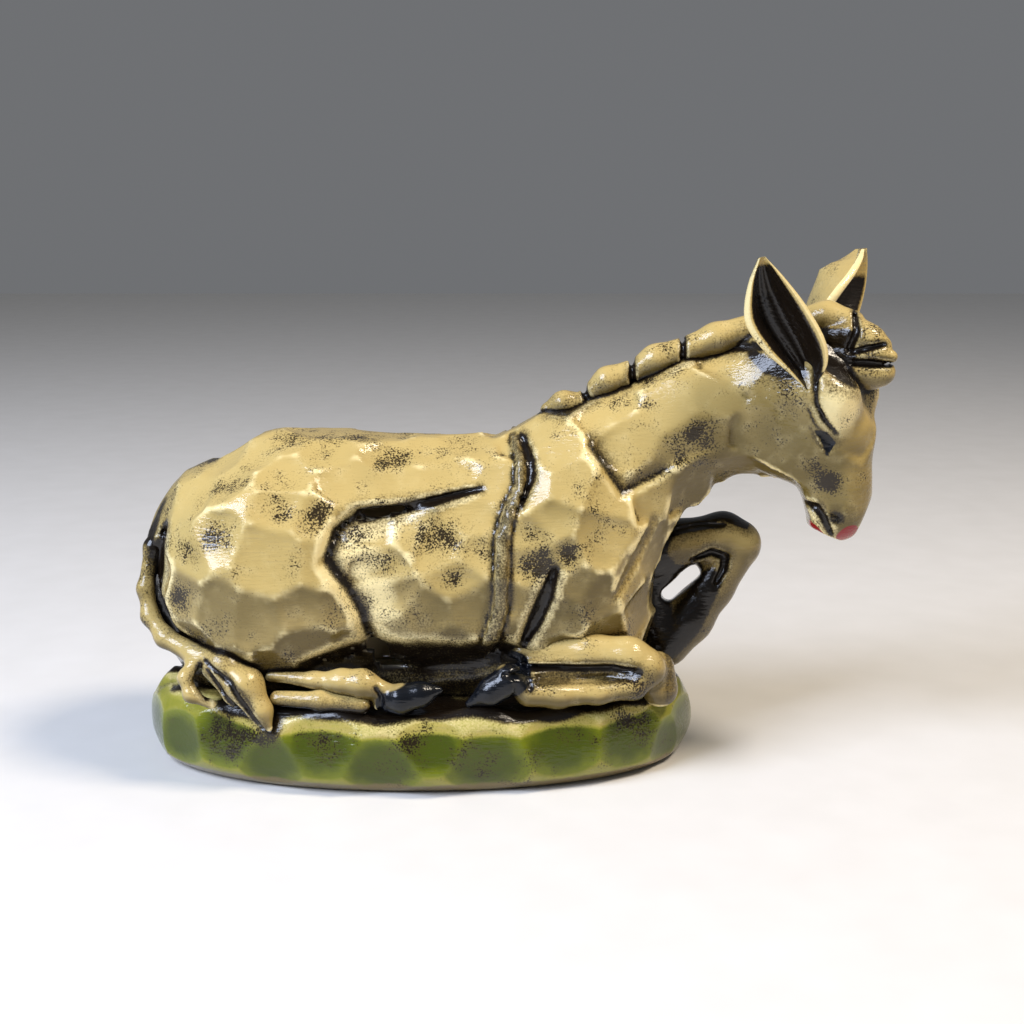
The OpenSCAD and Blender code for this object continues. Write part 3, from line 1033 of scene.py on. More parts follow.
    def set_out(self) -> None:
        """Merges the masses, cuts and carves them, and takes out the hollow and the slot."""
        x_stops = [(-97.5, 1.0), (48.0, 0.7), (96.5, 0.7)]
        z_stops = [(GROUND - 2.5, 0.98), (60.0, 0.75), (121.0, 0.75)]
        self.block = block = Block(self.name, [x_stops, [(-34.0, 1.03), (34.0, 1.03)], z_stops])
        at = block.at
        mirror = Cloud(at.x, np.abs(at.y), at.z)
        mass = sections(at, self.TRUNK)
        for centre, half, soft in (((-76, 0, 48), (18, 21.5, 28), 6.0), ((17, 0, 60), (18, 20.5, 32), 7.0),
                                   ((21, 0, 44), (17.6, 19.5, 27), 6.0)):
            mass = merge(mass, ellipsoid(at, centre, half), soft)
        for centre, half, soft in (((-59, 17, 50), (25, 13.5, 27), 4.0), ((15, 13, 57), (17, 12, 24), 6.0)):
            mass = merge(mass, ellipsoid(mirror, centre, half), soft)
        neck = rod(at, [((26, 0, 70), 21.0), ((34, 0, 79), 18.0), ((46, -0.5, 88), 15.6),
                        ((60, -1, 92.5), 14.6)],
                   4.0, (1.0, 0.82, 1.0))
        mass = merge(mass, neck, 8.0)
        block.field = np.broadcast_to(merge(mass, self.head_mass(at), 7.0),
                                      block.field.shape).astype(np.float32)
        block.level()
        base = block.field.copy()
        crest = smooth(24.0, 42.0, at.x) * smooth(66.0, 84.0, at.z)
        back = 0.4 * smooth(78.0, 86.0, at.z) * smooth(20.0, 10.0, at.x)
        rump = 0.7 * smooth(-70.0, -79.0, at.x) * smooth(56.0, 66.0, at.z)
        calm = (0.5 * crest + 0.25 * smooth(58.0, 70.0, at.x) + back + rump) * np.ones_like(base)
        cuts = knife_cuts(block, self.CUTS, 12.5, 11, 0.9)
        cuts.depths *= self.DEEPER
        block.carve(cuts, self.STROKES, 2.2, keep=calm)
        self.carve_face()
        hollow = np.maximum(np.maximum(base + self.wall, block.field + 0.5 * self.wall),
                            at.x - self.HOLLOW_END)
        slot = np.maximum(np.maximum(np.abs(at.x - self.slot_at[0]) - self.slot_size[0] / 2,
                                     np.abs(at.y - self.slot_at[1]) - self.slot_size[1] / 2),
                                     self.SLOT_FLOOR - at.z)
        block.field = cut(cut(block.field, hollow, 0.5), slot, 1.0)
        block.field = np.maximum(block.field, GROUND - at.z).astype(np.float32)
        self.hollow = hollow.astype(np.float32)

    def head_mass(self, at: Cloud) -> Array:
        """The head: skull, brows, jowls, a long nose and the muzzle."""
        h = self.head.enter(at)
        pair = Cloud(h.x, np.abs(h.y), h.z)
        mass = rod(h, [((9, 0, 96), 13.2), ((13.8, 0, 86), 10.4), ((16.0, 0, 74), 7.8),
                       ((16.6, 0, 68), 6.9)], 5.0)
        mass = merge(mass, ellipsoid(h, (2, 0, 103), (11.5, 11.5, 11)), 5.0)
        mass = merge(mass, ellipsoid(pair, (4.5, 3.0, 85), (11.5, 9.5, 12.0)), 6.0)
        mass = merge(mass, ellipsoid(pair, (15.8, 6.8, 96.0), (8.0, 7.2, 9.0)), 3.0)
        return merge(mass, ellipsoid(h, (16.3, 0, 67.3), (7.0, 7.8, 7.4)), 4.0)

    def carve_face(self) -> None:
        """Cuts the face's strokes, which are set out in the head's own frame, into both its sides."""
        block = self.block
        spots = np.argwhere((np.abs(block.field) < 5.0) & (block.at.x > 55.0))
        where = tuple(spots.T)
        points = block.places(spots)
        h = self.head.enter(cloud_of(points))
        value = block.field[where]
        for stroke in self.FACE:
            value = value + stroke.work(h)[0]
        block.field[where] = value

    def touch_up(self, points: Array, paint: Paint) -> None:
        """Paints the face, with a painted highlight on each brow and painted shade on the cheek, darkens the
        wash towards the bottom of the body as painted shade, and leaves the inside of the casting bare.
        """
        at = cloud_of(points)
        h = self.head.enter(at)
        on_head = smooth(60.0, 64.0, at.x)
        for stroke in self.FACE:
            raise_to(paint, "wash_and_shade", stroke.work(h)[1] * on_head)
        eye = self.FACE[1].work(h)[1]
        raise_to(paint, "ink", smooth(0.4, 0.7, eye) * on_head)
        for spot in self.LIPS:
            gap = np.sqrt((h.x - spot[0]) ** 2 + (h.y - spot[1]) ** 2 + ((h.z - spot[2]) * 0.8) ** 2)
            raise_to(paint, "lip", smooth(3.6, 2.2, gap) * on_head)
        # Painted highlight on each brow.
        x, y, z = self.BROW
        brow = np.sqrt((h.x - x) ** 2 + (np.abs(h.y) - y) ** 2 + (0.8 * (h.z - z)) ** 2)
        raise_to(paint, "rub", 0.9 * smooth(7.5, 2.5, brow) * on_head)
        paint["bare"] = smooth(1.6, 0.8, self.block.sample(points, self.hollow))
        for key in ("wash_and_shade", "patch", "rub"):
            paint[key] = paint[key] * (1.0 - paint["bare"])
        # Painted shade over the cheek.
        cheek = np.exp(-((at.x - self.CHEEK[0]) / 13.0) ** 2 - ((at.z - self.CHEEK[1]) / 15.0) ** 2)
        raise_to(paint, "shade", 0.75 * cheek)
        # Painted shade: the wash darkens towards the bottom of the body.
        low = smooth(42.0, 25.0, at.z) * (1.0 - paint["bare"])
        raise_to(paint, "wash_and_shade", 0.75 * low)


@dataclass
class Limb(Casting):
    """A small casting made of rods: a leg, the tail, or a lock of the mane.

    Holes run right through along the line of sight, each between two (x, z) points with its radius. Inks
    blacken a hoof, and umbers and painted shade darken a place, without a cut. Keep holds the facets off,
    all the way at 1.
    """

    rods: list[Stations] = field(default_factory=list)
    spans: tuple[Pair, Pair, Pair] = ((0, 1), (0, 1), (0, 1))
    step: float = 0.55
    soft: float = 1.5
    strokes: list[Carving] = field(default_factory=list)
    spacing: float = 12.0
    holes: list[tuple[Pair, Pair, float]] = field(default_factory=list)
    inks: list[Carving] = field(default_factory=list)
    umbers_and_shade: list[Carving] = field(default_factory=list)
    seed: int = 1
    depth: float = 0.15
    keep: float = 0.85

    def set_out(self) -> None:
        """Merges the rods, cuts the holes, and cuts and carves them."""
        self.block = block = Block(self.name, [[(low, self.step), (high, self.step)] for low,
                                               high in self.spans])
        mass: Optional[Array] = None
        for stations in self.rods:
            one = rod(block.at, stations, 2.0)
            mass = one if mass is None else merge(mass, one, self.soft)
        middle = sum(self.spans[1]) / 2
        past = block.at.y - middle
        for start, end, radius in self.holes:
            gap = Line2D([start, end]).near(block.at.x - 0.12 * past, block.at.z + 0.22 * past)[0]
            mass = cut(mass, gap - radius, 1.5)
        block.field = np.broadcast_to(mass, block.field.shape).astype(np.float32)
        block.level()
        cuts = knife_cuts(block, [], self.spacing, self.seed, self.depth)
        block.carve(cuts, self.strokes, 0.9, keep=np.full_like(block.field, self.keep))
        block.facets.sponges *= 0.6

    def touch_up(self, points: Array, paint: Paint) -> None:
        """Blacks the hooves, and darkens what is named with umber and painted shade."""
        at = cloud_of(points)
        for stroke in self.inks:
            raise_to(paint, "ink", stroke.work(at)[1])
        for stroke in self.umbers_and_shade:
            raise_to(paint, "wash_and_shade", stroke.work(at)[1])


def limbs() -> list[Limb]:
    """The legs, tail, mane and forelock, each set out in millimetres."""
    near = Flank.NEAR
    return [
        Limb("near_foreleg_cast", "near_foreleg",
             rods=[[((4, -17, 31.8), 4.8), ((20, -19, 32.4), 4.8), ((30, -20.6, 31.6), 4.9),
                    ((33.8, -21, 29.2), 5.1)],
                   [((30, -20, 29.4), 3.4), ((16, -21, 28.8), 3.2), ((4, -22, 28.4), 3.2)],
                   [((33.8, -21, 28.4), 5.0), ((31, -23.5, 25.2), 3.1), ((22, -25.5, 24.2), 2.7),
                    ((12, -27, 24.4), 3.3),
                    ((5, -28, 25.2), 3.6)],
                   [((4, -27.6, 28.2), 2.6), ((0, -28.4, 28.4), 3.8), ((-4.5, -28.9, 25.6), 3.1),
                    ((-9.8, -29.2, 22.6), 0.9)],
                   [((37.6, -16, 27.5), 4.2), ((38.2, -16.5, 22), 4.6)]],
             spans=((-15, 46), (-34.8, -8), (18, 42)), contact=1.3, strokes=[
                 Carving(((-1, 30.6), (8, 29.8), (18, 29.8), (26, 30), (32, 29.4)), (0.9, 1.1, 1.3, 1.5), 1.8,
                         flank=near),
                 Carving(((6, 28), (14, 28.2), (23, 27.8), (31.5, 27.8)), (1.0, 1.6, 1.6, 1.3), 0.8,
                         wash_and_shade=0.62,
                         flank=near),
                 Carving(((3.6, 32), (4.4, 29.5), (5.4, 27)), (0.7, 1.0, 0.8), 1.1, flank=near),
                 Carving(((1.5, 30), (1.9, 27), (0.5, 23.5)), (0.5, 0.7, 0.5), 0.6, flank=near)],
             inks=[Carving(((-10, 22.8), (-5, 25.4), (-1.2, 27.8), (1.5, 29.6)), (3.6, 4.6, 4.8, 4.4), 0.0,
                           flank=near)],
             umbers_and_shade=[Carving(((41, 36), (41, 20)), (2.4, 2.4), 0.0, wash_and_shade=0.55, flank=Flank.ALL)], seed=3),
        Limb("near_hind_leg_cast", "near_hind_leg", contact=1.6,
             rods=[[((-59, -24, 28), 1.4), ((-48, -26, 27.4), 2.0), ((-41, -27, 27.4), 3.0),
                    ((-36, -27.8, 27.2), 3.4),
                    ((-30.5, -28.2, 25.4), 2.4)],
                   [((-31.5, -28.8, 22.4), 1.7), ((-26.5, -29.2, 23.8), 3.4), ((-21.5, -29.2, 25), 2.9),
                    ((-17, -29, 26), 1.0)]],
             spans=((-64, -12), (-34.8, -18), (17.5, 34)), strokes=[
                 Carving(((-58, 26.4), (-48, 25.2), (-40, 24.6), (-35, 23.6)), (0.5, 0.7, 0.6), 0.7,
                         flank=near),
                 Carving(((-32.4, 27), (-31, 24.8), (-31.5, 21)), (0.6, 0.8, 0.7), 0.9, flank=near)],
             inks=[Carving(((-29.5, 22.8), (-23, 24.6), (-16, 26)), (3.6, 4.6, 4.0), 0.0, flank=near)],
             seed=4),
        Limb("far_hind_leg_cast", "far_hind_leg",
             rods=[[((-57, -27, 23.2), 1.9), ((-46, -28.6, 23.2), 2.2), ((-36, -29.4, 22.2), 2.1)]],
             spans=((-61, -32), (-33.5, -23), (18, 27)), step=0.4, seed=5,
             umbers_and_shade=[Carving(((-58, 20.5), (-34, 20)), (2.4, 2.4), 0.0, flank=near)]),
        Limb("raised_foreleg_cast", "raised_foreleg",
             rods=[[((33, 6, 50), 8.0), ((45, 7, 54), 6.2), ((56.5, 8, 56), 6.0), ((60.3, 8, 54), 6.1)],
                   [((60.3, 8, 53.4), 6.0), ((53.5, 7.5, 42.5), 6.2), ((47.5, 6.5, 34), 6.8),
                    ((41.5, 6, 27.5), 7.0)],
                   [((42, 6.5, 50), 5.2), ((39, 6, 42), 4.4), ((39, 6, 33), 6.0)]],
             holes=[((42.2, 40.6), (48.9, 46.3), 1.7)],
             spans=((22, 71), (-5, 17), (16, 66)), strokes=[
                 Carving(((47.9, 50.9), (53, 52.9), (56.6, 51.6), (56.2, 48.4), (53.8, 44)),
                         (0.9, 1.5, 1.5, 1.0), 1.6,
                         flank=near, middle=9.0),
                 Carving(((41, 58), (48, 59.2), (56, 60)), (0.8, 1.0, 0.7), 0.8, flank=near, middle=9.0)],
             # Painted shade along the top of the leg under the neck, down its inner side and round the hole
             # by the chest.
             umbers_and_shade=[Carving(((39, 58), (48, 61), (56, 62.6), (62, 60)), (2.4, 2.4, 2.0, 1.6), 0.0,
                             flank=Flank.ALL),
                     Carving(((53, 45.5), (49, 38.5), (45, 32), (41, 28)), (3.6, 5.4, 5.4), 0.0, flank=near,
                             middle=9.0),
                     Carving(((38, 50), (42, 47), (46, 47), (49, 48)), (5.6, 4.0, 2.6), 0.0, flank=Flank.ALL),
                     Carving(((38, 46), (39, 38), (40, 32)), (5.0, 5.0), 0.0, flank=Flank.ALL)], seed=6),
        Limb("tail_cast", "tail",
             rods=[[((-85, -4, 66), 2.6), ((-90, -9, 57), 2.2), ((-91.7, -12, 47), 2.0),
                    ((-90.3, -14.5, 40.5), 2.1),
                    ((-86, -18, 36), 2.3), ((-78, -22, 33), 2.7)],
                   [((-78, -22, 33), 2.8), ((-70, -25.5, 31.2), 4.0), ((-64.5, -28, 27), 4.3),
                    ((-60.5, -30, 21), 2.6),
                    ((-58.6, -31, 17), 0.9)],
                   [((-74, -24.5, 31), 2.4), ((-67, -28, 25), 2.8), ((-60.5, -30.8, 18), 1.0)],
                   [((-77, -23.5, 32), 2.0), ((-79.5, -26.5, 28.5), 1.6), ((-78, -28, 24.5), 1.6),
                    ((-73, -28, 22), 1.2)]],
             spans=((-96, -50), (-35, 5), (13, 72)), keep=1.0, strokes=[
                 Carving(((-74, 33), (-67.5, 28.5), (-63.5, 22), (-60.2, 17)), (0.6, 1.0, 0.8), 1.0,
                         flank=near),
                 Carving(((-73.5, 31), (-70, 26), (-65, 20.5), (-61.5, 16)), (0.6, 1.0, 0.8), 1.0,
                         flank=near),
                 Carving(((-69, 31), (-64.5, 26.5), (-62, 22)), (0.4, 0.6, 0.4), 0.5, wash_and_shade=0.6, flank=near),
                 Carving(((-75.5, 32), (-76.8, 28), (-74, 24)), (0.7, 1.2, 0.9), 1.2, flank=near)], seed=7),
        Limb("mane_cast", "mane_tufts", contact=1.0,
             rods=[[((10, -0.5, 90.8), 2.0), ((14, -0.8, 92.6), 3.0), ((19, -0.8, 92.8), 2.4)],
                   [((18.5, -0.6, 93.3), 2.2), ((25, -0.8, 98.2), 3.4), ((31, -0.8, 100.4), 3.2)],
                   [((30.5, -0.7, 100), 2.8), ((37, -0.9, 103.6), 3.6), ((43, -1, 105.4), 3.6)],
                   [((44, -1, 105.6), 3.6), ((52, -1.2, 108.9), 3.8), ((60, -1.4, 111), 3.9)]],
             spans=((7, 67), (-7, 6), (86, 117)), step=0.5, soft=0.2, spacing=11.0, strokes=[
                 Carving(((43.6, 109), (43.4, 105), (44.2, 101)), (0.8, 1.1, 0.9), 1.5, flank=Flank.ALL),
                 Carving(((31.0, 104), (30.8, 100), (32, 96)), (0.8, 1.2, 1.0), 1.6, flank=Flank.ALL),
                 Carving(((18.8, 98), (19.2, 95), (21, 92)), (0.8, 1.2, 1.0), 1.4, flank=Flank.ALL),
                 Carving(((12, 89.5), (20, 91.5), (31, 96), (44, 101.5), (62, 105.5)), (1.8, 1.8), 0.0)],
                 seed=8),
        Limb("forelock_cast", "forelock",
             rods=[[((72, -2, 113.0), 3.6), ((78.5, -4.5, 114.6), 3.8), ((84, -7.5, 113.2), 3.6)],
                   [((81, -7, 109.5), 4.6), ((85, -9, 110.4), 4.2), ((88.3, -10.8, 109.4), 3.5),
                    ((91, -12, 108.2), 2.3)],
                   [((81, -8, 105), 4.6), ((85.5, -10.8, 106.2), 3.2), ((89.5, -12.4, 106.2), 2.6),
                    ((92.8, -13.2, 105.8), 1.7)],
                   [((82, -9, 102.5), 4.4), ((85, -10.5, 102), 3.7), ((88.5, -11.2, 101.6), 3.7),
                    ((91.2, -11.8, 101.8), 3.3)]],
             spans=((66, 97), (-19, 4), (94, 120)), step=0.45, soft=0.5, spacing=9.0, strokes=[
                 Carving(((84.5, 116), (84.3, 112), (82.8, 107)), (0.8, 1.2, 1.0), 1.3, flank=near),
                 Carving(((83, 106.8), (87, 108.0), (91.2, 109.0)), (0.9, 1.1, 0.7), 1.2, flank=near),
                 Carving(((83.6, 104.4), (88, 104.4), (93, 104.0)), (1.2, 1.4, 0.9), 1.5, flank=near)],
             # Painted shade in the hollow under the forelock's top lock and at the inner ends of the locks.
             umbers_and_shade=[Carving(((74, 110.5), (78.5, 109.5), (82, 110.5)), (3.0, 3.8, 2.5), 0.0, flank=near),
                     Carving(((80, 100), (82.5, 105), (82, 111)), (2.2, 2.4, 1.6), 0.0, flank=near)], seed=9)]


@dataclass
class Ear(Casting):
    """A pointed ear: a leaf that is dished on one face.

    Each section across the leaf is a closed ring. On the open face it runs from one edge to the other over
    a rounded rim and down into the cup. On the back it is a half-oval. The cup is dark up to dark_to.
    """

    left: list[Triple] = field(default_factory=list)
    right: list[Triple] = field(default_factory=list)
    opening: Triple = (0.0, -1.0, 0.0)
    cup: float = 4.5
    back: float = 7.0
    rim: float = 1.6
    fold: float = 2.0
    dark_to: float = 140.0
    rows: int = 90
    columns: int = 96

    def rings(self) -> tuple[Array, Array, Array]:
        """The sections, and for each point the share along the ear and the place across it."""
        u = np.linspace(0.0, 1.0, self.rows)
        edges = []
        for side in (self.left, self.right):
            table = np.array(side, float)
            knots = list(np.linspace(0.0, 1.0, len(table)))
            edges.append(np.stack([spline(u, knots, list(table[:, k])) for k in range(3)], 1))
        middle, half = (edges[0] + edges[1]) / 2, (edges[1] - edges[0]) / 2
        run = np.gradient(middle, axis=0)
        face = np.array(self.opening, float)
        normal = face - run * (run @ face)[:, None] / (run ** 2).sum(1, keepdims=True)
        normal -= half * (normal * half).sum(1,
                                             keepdims=True) / np.maximum((half ** 2).sum(1, keepdims=True),
                                                                         0.01)
        normal /= np.linalg.norm(normal, axis=1, keepdims=True)
        phase = np.linspace(0.0, 2 * math.pi, self.columns, endpoint=False)
        across, front = np.cos(phase), np.sin(phase) > 0
        s = np.abs(across)
        taper = (np.minimum(np.linalg.norm(half, axis=1) / 6.0, 1.0) ** 0.8)[:, None]
        lip = self.rim * (np.sqrt(np.clip(1.0 - (np.clip(s - 0.82, 0, 1) / 0.18) ** 2, 0, 1)) - 1.0)
        ripple = 0.28 * np.cos(across * 15.0 + 0.7) * smooth(0.75, 0.4, s)
        bowl = -self.cup * (1.0 - smooth(0.25, 0.84, s)) + ripple
        shell = -self.rim - self.back * np.clip(1.0 - s ** self.fold, 0, 1) ** (1.2 / self.fold)
        height = np.where(front, lip + bowl * taper, -self.rim * taper ** 0.5 + (shell + self.rim) * taper)
        points = middle[:, None] + half[:, None] * across[None, :, None] + normal[:, None] * height[..., None]
        return points, u[:, None] * np.ones_like(height), np.where(front, across, 2.0) * np.ones_like(height)

    def build(self, material: bpy.types.Material, slot: str) -> bpy.types.Object:
        """Skins the leaf, and paints its cup dark, a little lighter along each ripple's crest as a painted
        highlight.
        """
        rings, share, across = self.rings()
        points, faces = loft(rings)
        share = np.concatenate([share.ravel(), [0.0, 1.0]])
        across = np.concatenate([across.ravel(), [2.0, 2.0]])
        inside = smooth(0.82, 0.7, np.abs(across)) * smooth(0.97, 0.9, share)
        inside = inside * smooth(self.dark_to + 2.0, self.dark_to - 1.5, points[:, 2])
        # Painted highlight along the crests of the cup's ripples.
        ripple_highlight = 0.5 + 0.5 * np.cos(across * 15.0 + 0.7)
        touch = smooth(2.0, 0.2, self.near_gap(points.astype(np.float32)))
        paint = {key: np.zeros(len(points)) for key in ("wash_and_shade", "patch", "rub", "ink", "lip", "bare",
                                                        "shade")}
        paint["patch"] = 0.4 * smooth(1.0, 0.5, np.abs(across - 2.0)) * smooth(0.75, 0.3, share)
        paint["wash_and_shade"] = np.maximum(inside * (1.0 - 0.12 * ripple_highlight), 0.9 * touch)
        paint["rub"] = smooth(0.8, 0.9, np.abs(across)) * (np.abs(across) < 1.5)
        return new_piece(self.name, points, faces, material, self.node, paint=paint)


@dataclass
class Plinth:
    """The oval plinth, hollow, with a plate underneath and a hole for the stopper.

    Its section is a closed ring of points: up the outside, in over the ledge, down through the passage
    into the room for the coins, and back through the hole in the plate. The ring is carried round the oval.
    """

    squareness: float = 2.05
    foot_width: float = 7.0
    foot_recess: float = 4.0
    plate: float = 4.0
    wall: float = 4.5
    hole: float = 17.0
    columns: int = 560
    scoop: float = 1.9
    side_rows: int = 52
    rim_row: int = 44
    oval_x: float = 72.5
    oval_y: float = 36.5

    # Heights on the outside, as shares of the height, and how far the side is drawn in there.
    SIDE = [(0.0, 6.4), (0.03, 5.4), (0.12, 3.2), (0.28, 0.9), (0.45, 0.25), (0.62, 0.7), (0.8, 2.3),
            (0.94, 4.2),
            (1.03, 6.6)]
    SCOOPS = [(-84, 10, 10), (-71, 12.5, 11), (-59, 8, 10), (-46, 12.5, 11.5), (-31, 8.5, 11), (-19, 13, 10),
              (-5, 9, 12), (14, 12.5, 12), (31, 11.5, 11), (42, 8, 9)]
    SPONGED = [(-72, 12, 6, .8), (-62, 15, 5, .6), (-46, 13, 7, .6), (-22, 13, 6, .8), (-9, 10, 6, .7),
               (16, 14, 6, .75), (32, 13, 7, .9), (-32, 18, 4, .6), (40, 9, 5, .4)]

    def scoops(self) -> Array:
        """Places and sizes of the scoops on the side: the named ones on both flanks, and some at the ends."""
        middle = float((PLINTH_LOW[0] + PLINTH_HIGH[0]) / 2)
        half_x, half_y = float(PLINTH_HIGH[0]) - middle, float(PLINTH_HIGH[1])
        rows = []
        for x, z, size in self.SCOOPS:
            y = half_y * math.sqrt(max(0.0, 1.0 - ((x - middle) / half_x) ** 2))
            rows += [[x, -y, z, size], [x + 1.5, y, z, size]]
        for end in (-1, 1):
            for turn in (-14.0, 16.0):
                t = math.radians(turn)
                rows.append([middle + end * half_x * math.cos(t), half_y * math.sin(t), 11.0 + turn / 8,
                             11.0])
        return np.array(rows)

    def oval(self, centre: Array, half_x: Array, half_y: Array, square: Array) -> tuple[Array, Array]:
        """x and y of rings: half-widths times the powered cosine and sine of the angle."""
        t = np.linspace(0.0, 2 * math.pi, self.columns, endpoint=False)[None]
        c, s = np.cos(t), np.sin(t)
        power = 2.0 / square[:, None]
        return (centre[:, None] + half_x[:, None] * np.sign(c) * np.abs(c) ** power,
                half_y[:, None] * np.sign(s) * np.abs(s) ** power)

    def section(self) -> tuple[Array, Array]:
        """Rows of centre, half-widths, height and squareness round the section, and which are painted."""
        low, high = PLINTH_LOW, PLINTH_HIGH
        middle, half_x, half_y = (low[0] + high[0]) / 2, (high[0] - low[0]) / 2, (high[1] - low[1]) / 2
        passage = (-21.9, 42.0, 12.0)
        table = np.array(self.SIDE)
        shares = np.linspace(0.0, self.SIDE[-1][0], self.rim_row)
        inset = spline(shares, list(table[:, 0]), list(table[:, 1]))
        sq = self.squareness
        rows = [[middle, half_x - i, half_y - i, h * GROUND, sq] for i, h in zip(inset, shares)]

        def run(end: list[float], count: int) -> None:
            """Adds rows in a straight run from the last row to the end."""
            start = rows[-1]
            rows.extend([[a + (b - a) * k / count for a, b in zip(start, end)] for k in range(1, count + 1)])

        run([middle, half_x - 9.5, half_y - 9.5, GROUND + 0.4, sq], 8)
        run([middle * 0.5 + passage[0] * 0.5, 46.0, 16.0, GROUND + 0.1, sq], 12)
        painted = len(rows)
        run([passage[0], passage[1], passage[2], GROUND, sq], 3)
        run([passage[0], passage[1], passage[2], GROUND - self.wall, sq], 4)
        run([middle, half_x - 8.5, half_y - 8.5, GROUND - self.wall, sq], 6)
        run([middle, half_x - 8.5, half_y - 8.5, self.foot_recess + self.plate, sq], 4)
        run([middle, self.hole, self.hole, self.foot_recess + self.plate, 2.0], 8)
        run([middle, self.hole, self.hole, self.foot_recess, 2.0], 4)
        inner = 5.5 + self.foot_width
        run([middle, half_x - inner, half_y - inner, self.foot_recess, sq], 8)
        run([middle, half_x - inner, half_y - inner, 0.6, sq], 3)
        run([middle, half_x - inner + 0.6, half_y - inner + 0.6, 0.0, sq], 2)
        run([middle, half_x - 7.0, half_y - 7.0, 0.0, sq], 4)
        return np.array(rows), np.arange(len(rows)) < painted

    def build(self, material: bpy.types.Material, slot: str, near: list[Casting]) -> bpy.types.Object:
        """Carries the section round, scoops its side and paints it."""
        rows, painted = self.section()
        x, y = self.oval(rows[:, 0], rows[:, 1], rows[:, 2], rows[:, 4])
        z = np.broadcast_to(rows[:, 3:4], x.shape).copy()
        middle = float((PLINTH_LOW[0] + PLINTH_HIGH[0]) / 2)
        angle = np.linspace(0.0, 2 * math.pi, self.columns, endpoint=False)[None]
        side = np.arange(len(rows)) < self.side_rows
        rim = np.exp(-((np.arange(len(rows))[:, None] - self.rim_row) / 6.0) ** 2)
        z += rim * (0.8 * np.sin(9 * angle + 0.6) + 0.6 * np.sin(14 * angle + 2.0) + 0.4 * np.sin(23 * angle))
        scoops = self.scoops()
        gap = np.sqrt((x[side][..., None] - scoops[:, 0]) ** 2 + (y[side][..., None] - scoops[:, 1]) ** 2
                      + (1.35 * (z[side][..., None] - scoops[:, 2])) ** 2) / scoops[:, 3]
        bowls = np.clip(1.0 - gap ** 2, 0.0, 1.0)
        bowl = bowls.max(-1)
        row = np.arange(self.side_rows)[:, None] * np.ones_like(x[side])
        fade = smooth(0.0, 3.0, z[side]) * smooth(self.side_rows, self.rim_row + 2.0, row)
        sink = self.scoop * bowl * fade
        ridge = smooth(0.3, 0.0, bowl)
        length = np.hypot((x[side] - middle) / self.oval_x ** 2, y[side] / self.oval_y ** 2)
        x[side] -= sink * (x[side] - middle) / self.oval_x ** 2 / length
        y[side] -= sink * y[side] / self.oval_y ** 2 / length
        points = np.stack([x, y, z], -1).reshape(-1, 3)
        faces = grid_faces(len(rows), self.columns)
        r = len(rows) - 1
        c = np.arange(self.columns)
        n = (c + 1) % self.columns
        faces = np.concatenate([faces, np.stack([r * self.columns + c, r * self.columns + n, n, c], 1)])
        shape = x.shape
        # The scoops are painted a darker green, and the ridges between them carry a painted highlight.
        hollow = np.zeros(shape)
        hollow[side] = bowl * fade
        rub = np.zeros(shape)
        rub[side] = ridge * fade
        p32 = points.astype(np.float32)
        gaps = np.full(len(points), 50.0, np.float32)
        for other in near:
            gaps = np.minimum(gaps, other.block.reach(p32))
        wave = 0.7 * np.sin(11 * angle + 1.0) + 0.5 * np.sin(5 * angle) + 0.3 * np.sin(29 * angle)
        front = smooth(-8.0, -22.0, y) * smooth(-80.0, -66.0, x) * smooth(42.0, 30.0, x)
        on_top = smooth(17.6, 19.4, z + wave - 1.6 * (1.0 - front)) * painted[:, None]
        moss = smooth(1.6, -1.2, z - 14.6 - 2.0 * hollow - 4.5 * (1.0 - front)) * (1 - 0.6 * on_top)
        moss = np.maximum(moss, 0.3)
        paint = {
            "wash_and_shade": np.maximum(0.95 * on_top, 0.85 * smooth(4.0, 0.5, gaps).reshape(shape)) * painted[:,
                                                                                                      None],
            "patch": np.zeros(shape), "rub": 0.6 * rub, "hollow": hollow, "moss": moss,
            "shade": np.zeros(shape),
            "foot": smooth(5.0, 1.5, z) * side[:, None], "ink": np.zeros(shape), "lip": np.zeros(shape),
            "bare": (~painted)[:, None] * np.ones(shape)}
        for sx, sz, size, strength in self.SPONGED:
            for flank in (-1, 1):
                sy = flank * (self.oval_y - 1.0) * math.sqrt(max(0.0, 1 - ((sx - middle) / self.oval_x) ** 2))
                far = np.sqrt((0.75 * (x - sx)) ** 2 + (y - sy) ** 2 + (1.2 * (z - sz)) ** 2)
                raise_to(paint, "patch", 0.85 * strength * smooth(size * 1.5, size * 0.2, far))
        paint = {key: np.asarray(v, np.float32).ravel() for key, v in paint.items()}
        return new_piece("plinth_cast", points, faces[:, ::-1], material, "base_shell", paint=paint)


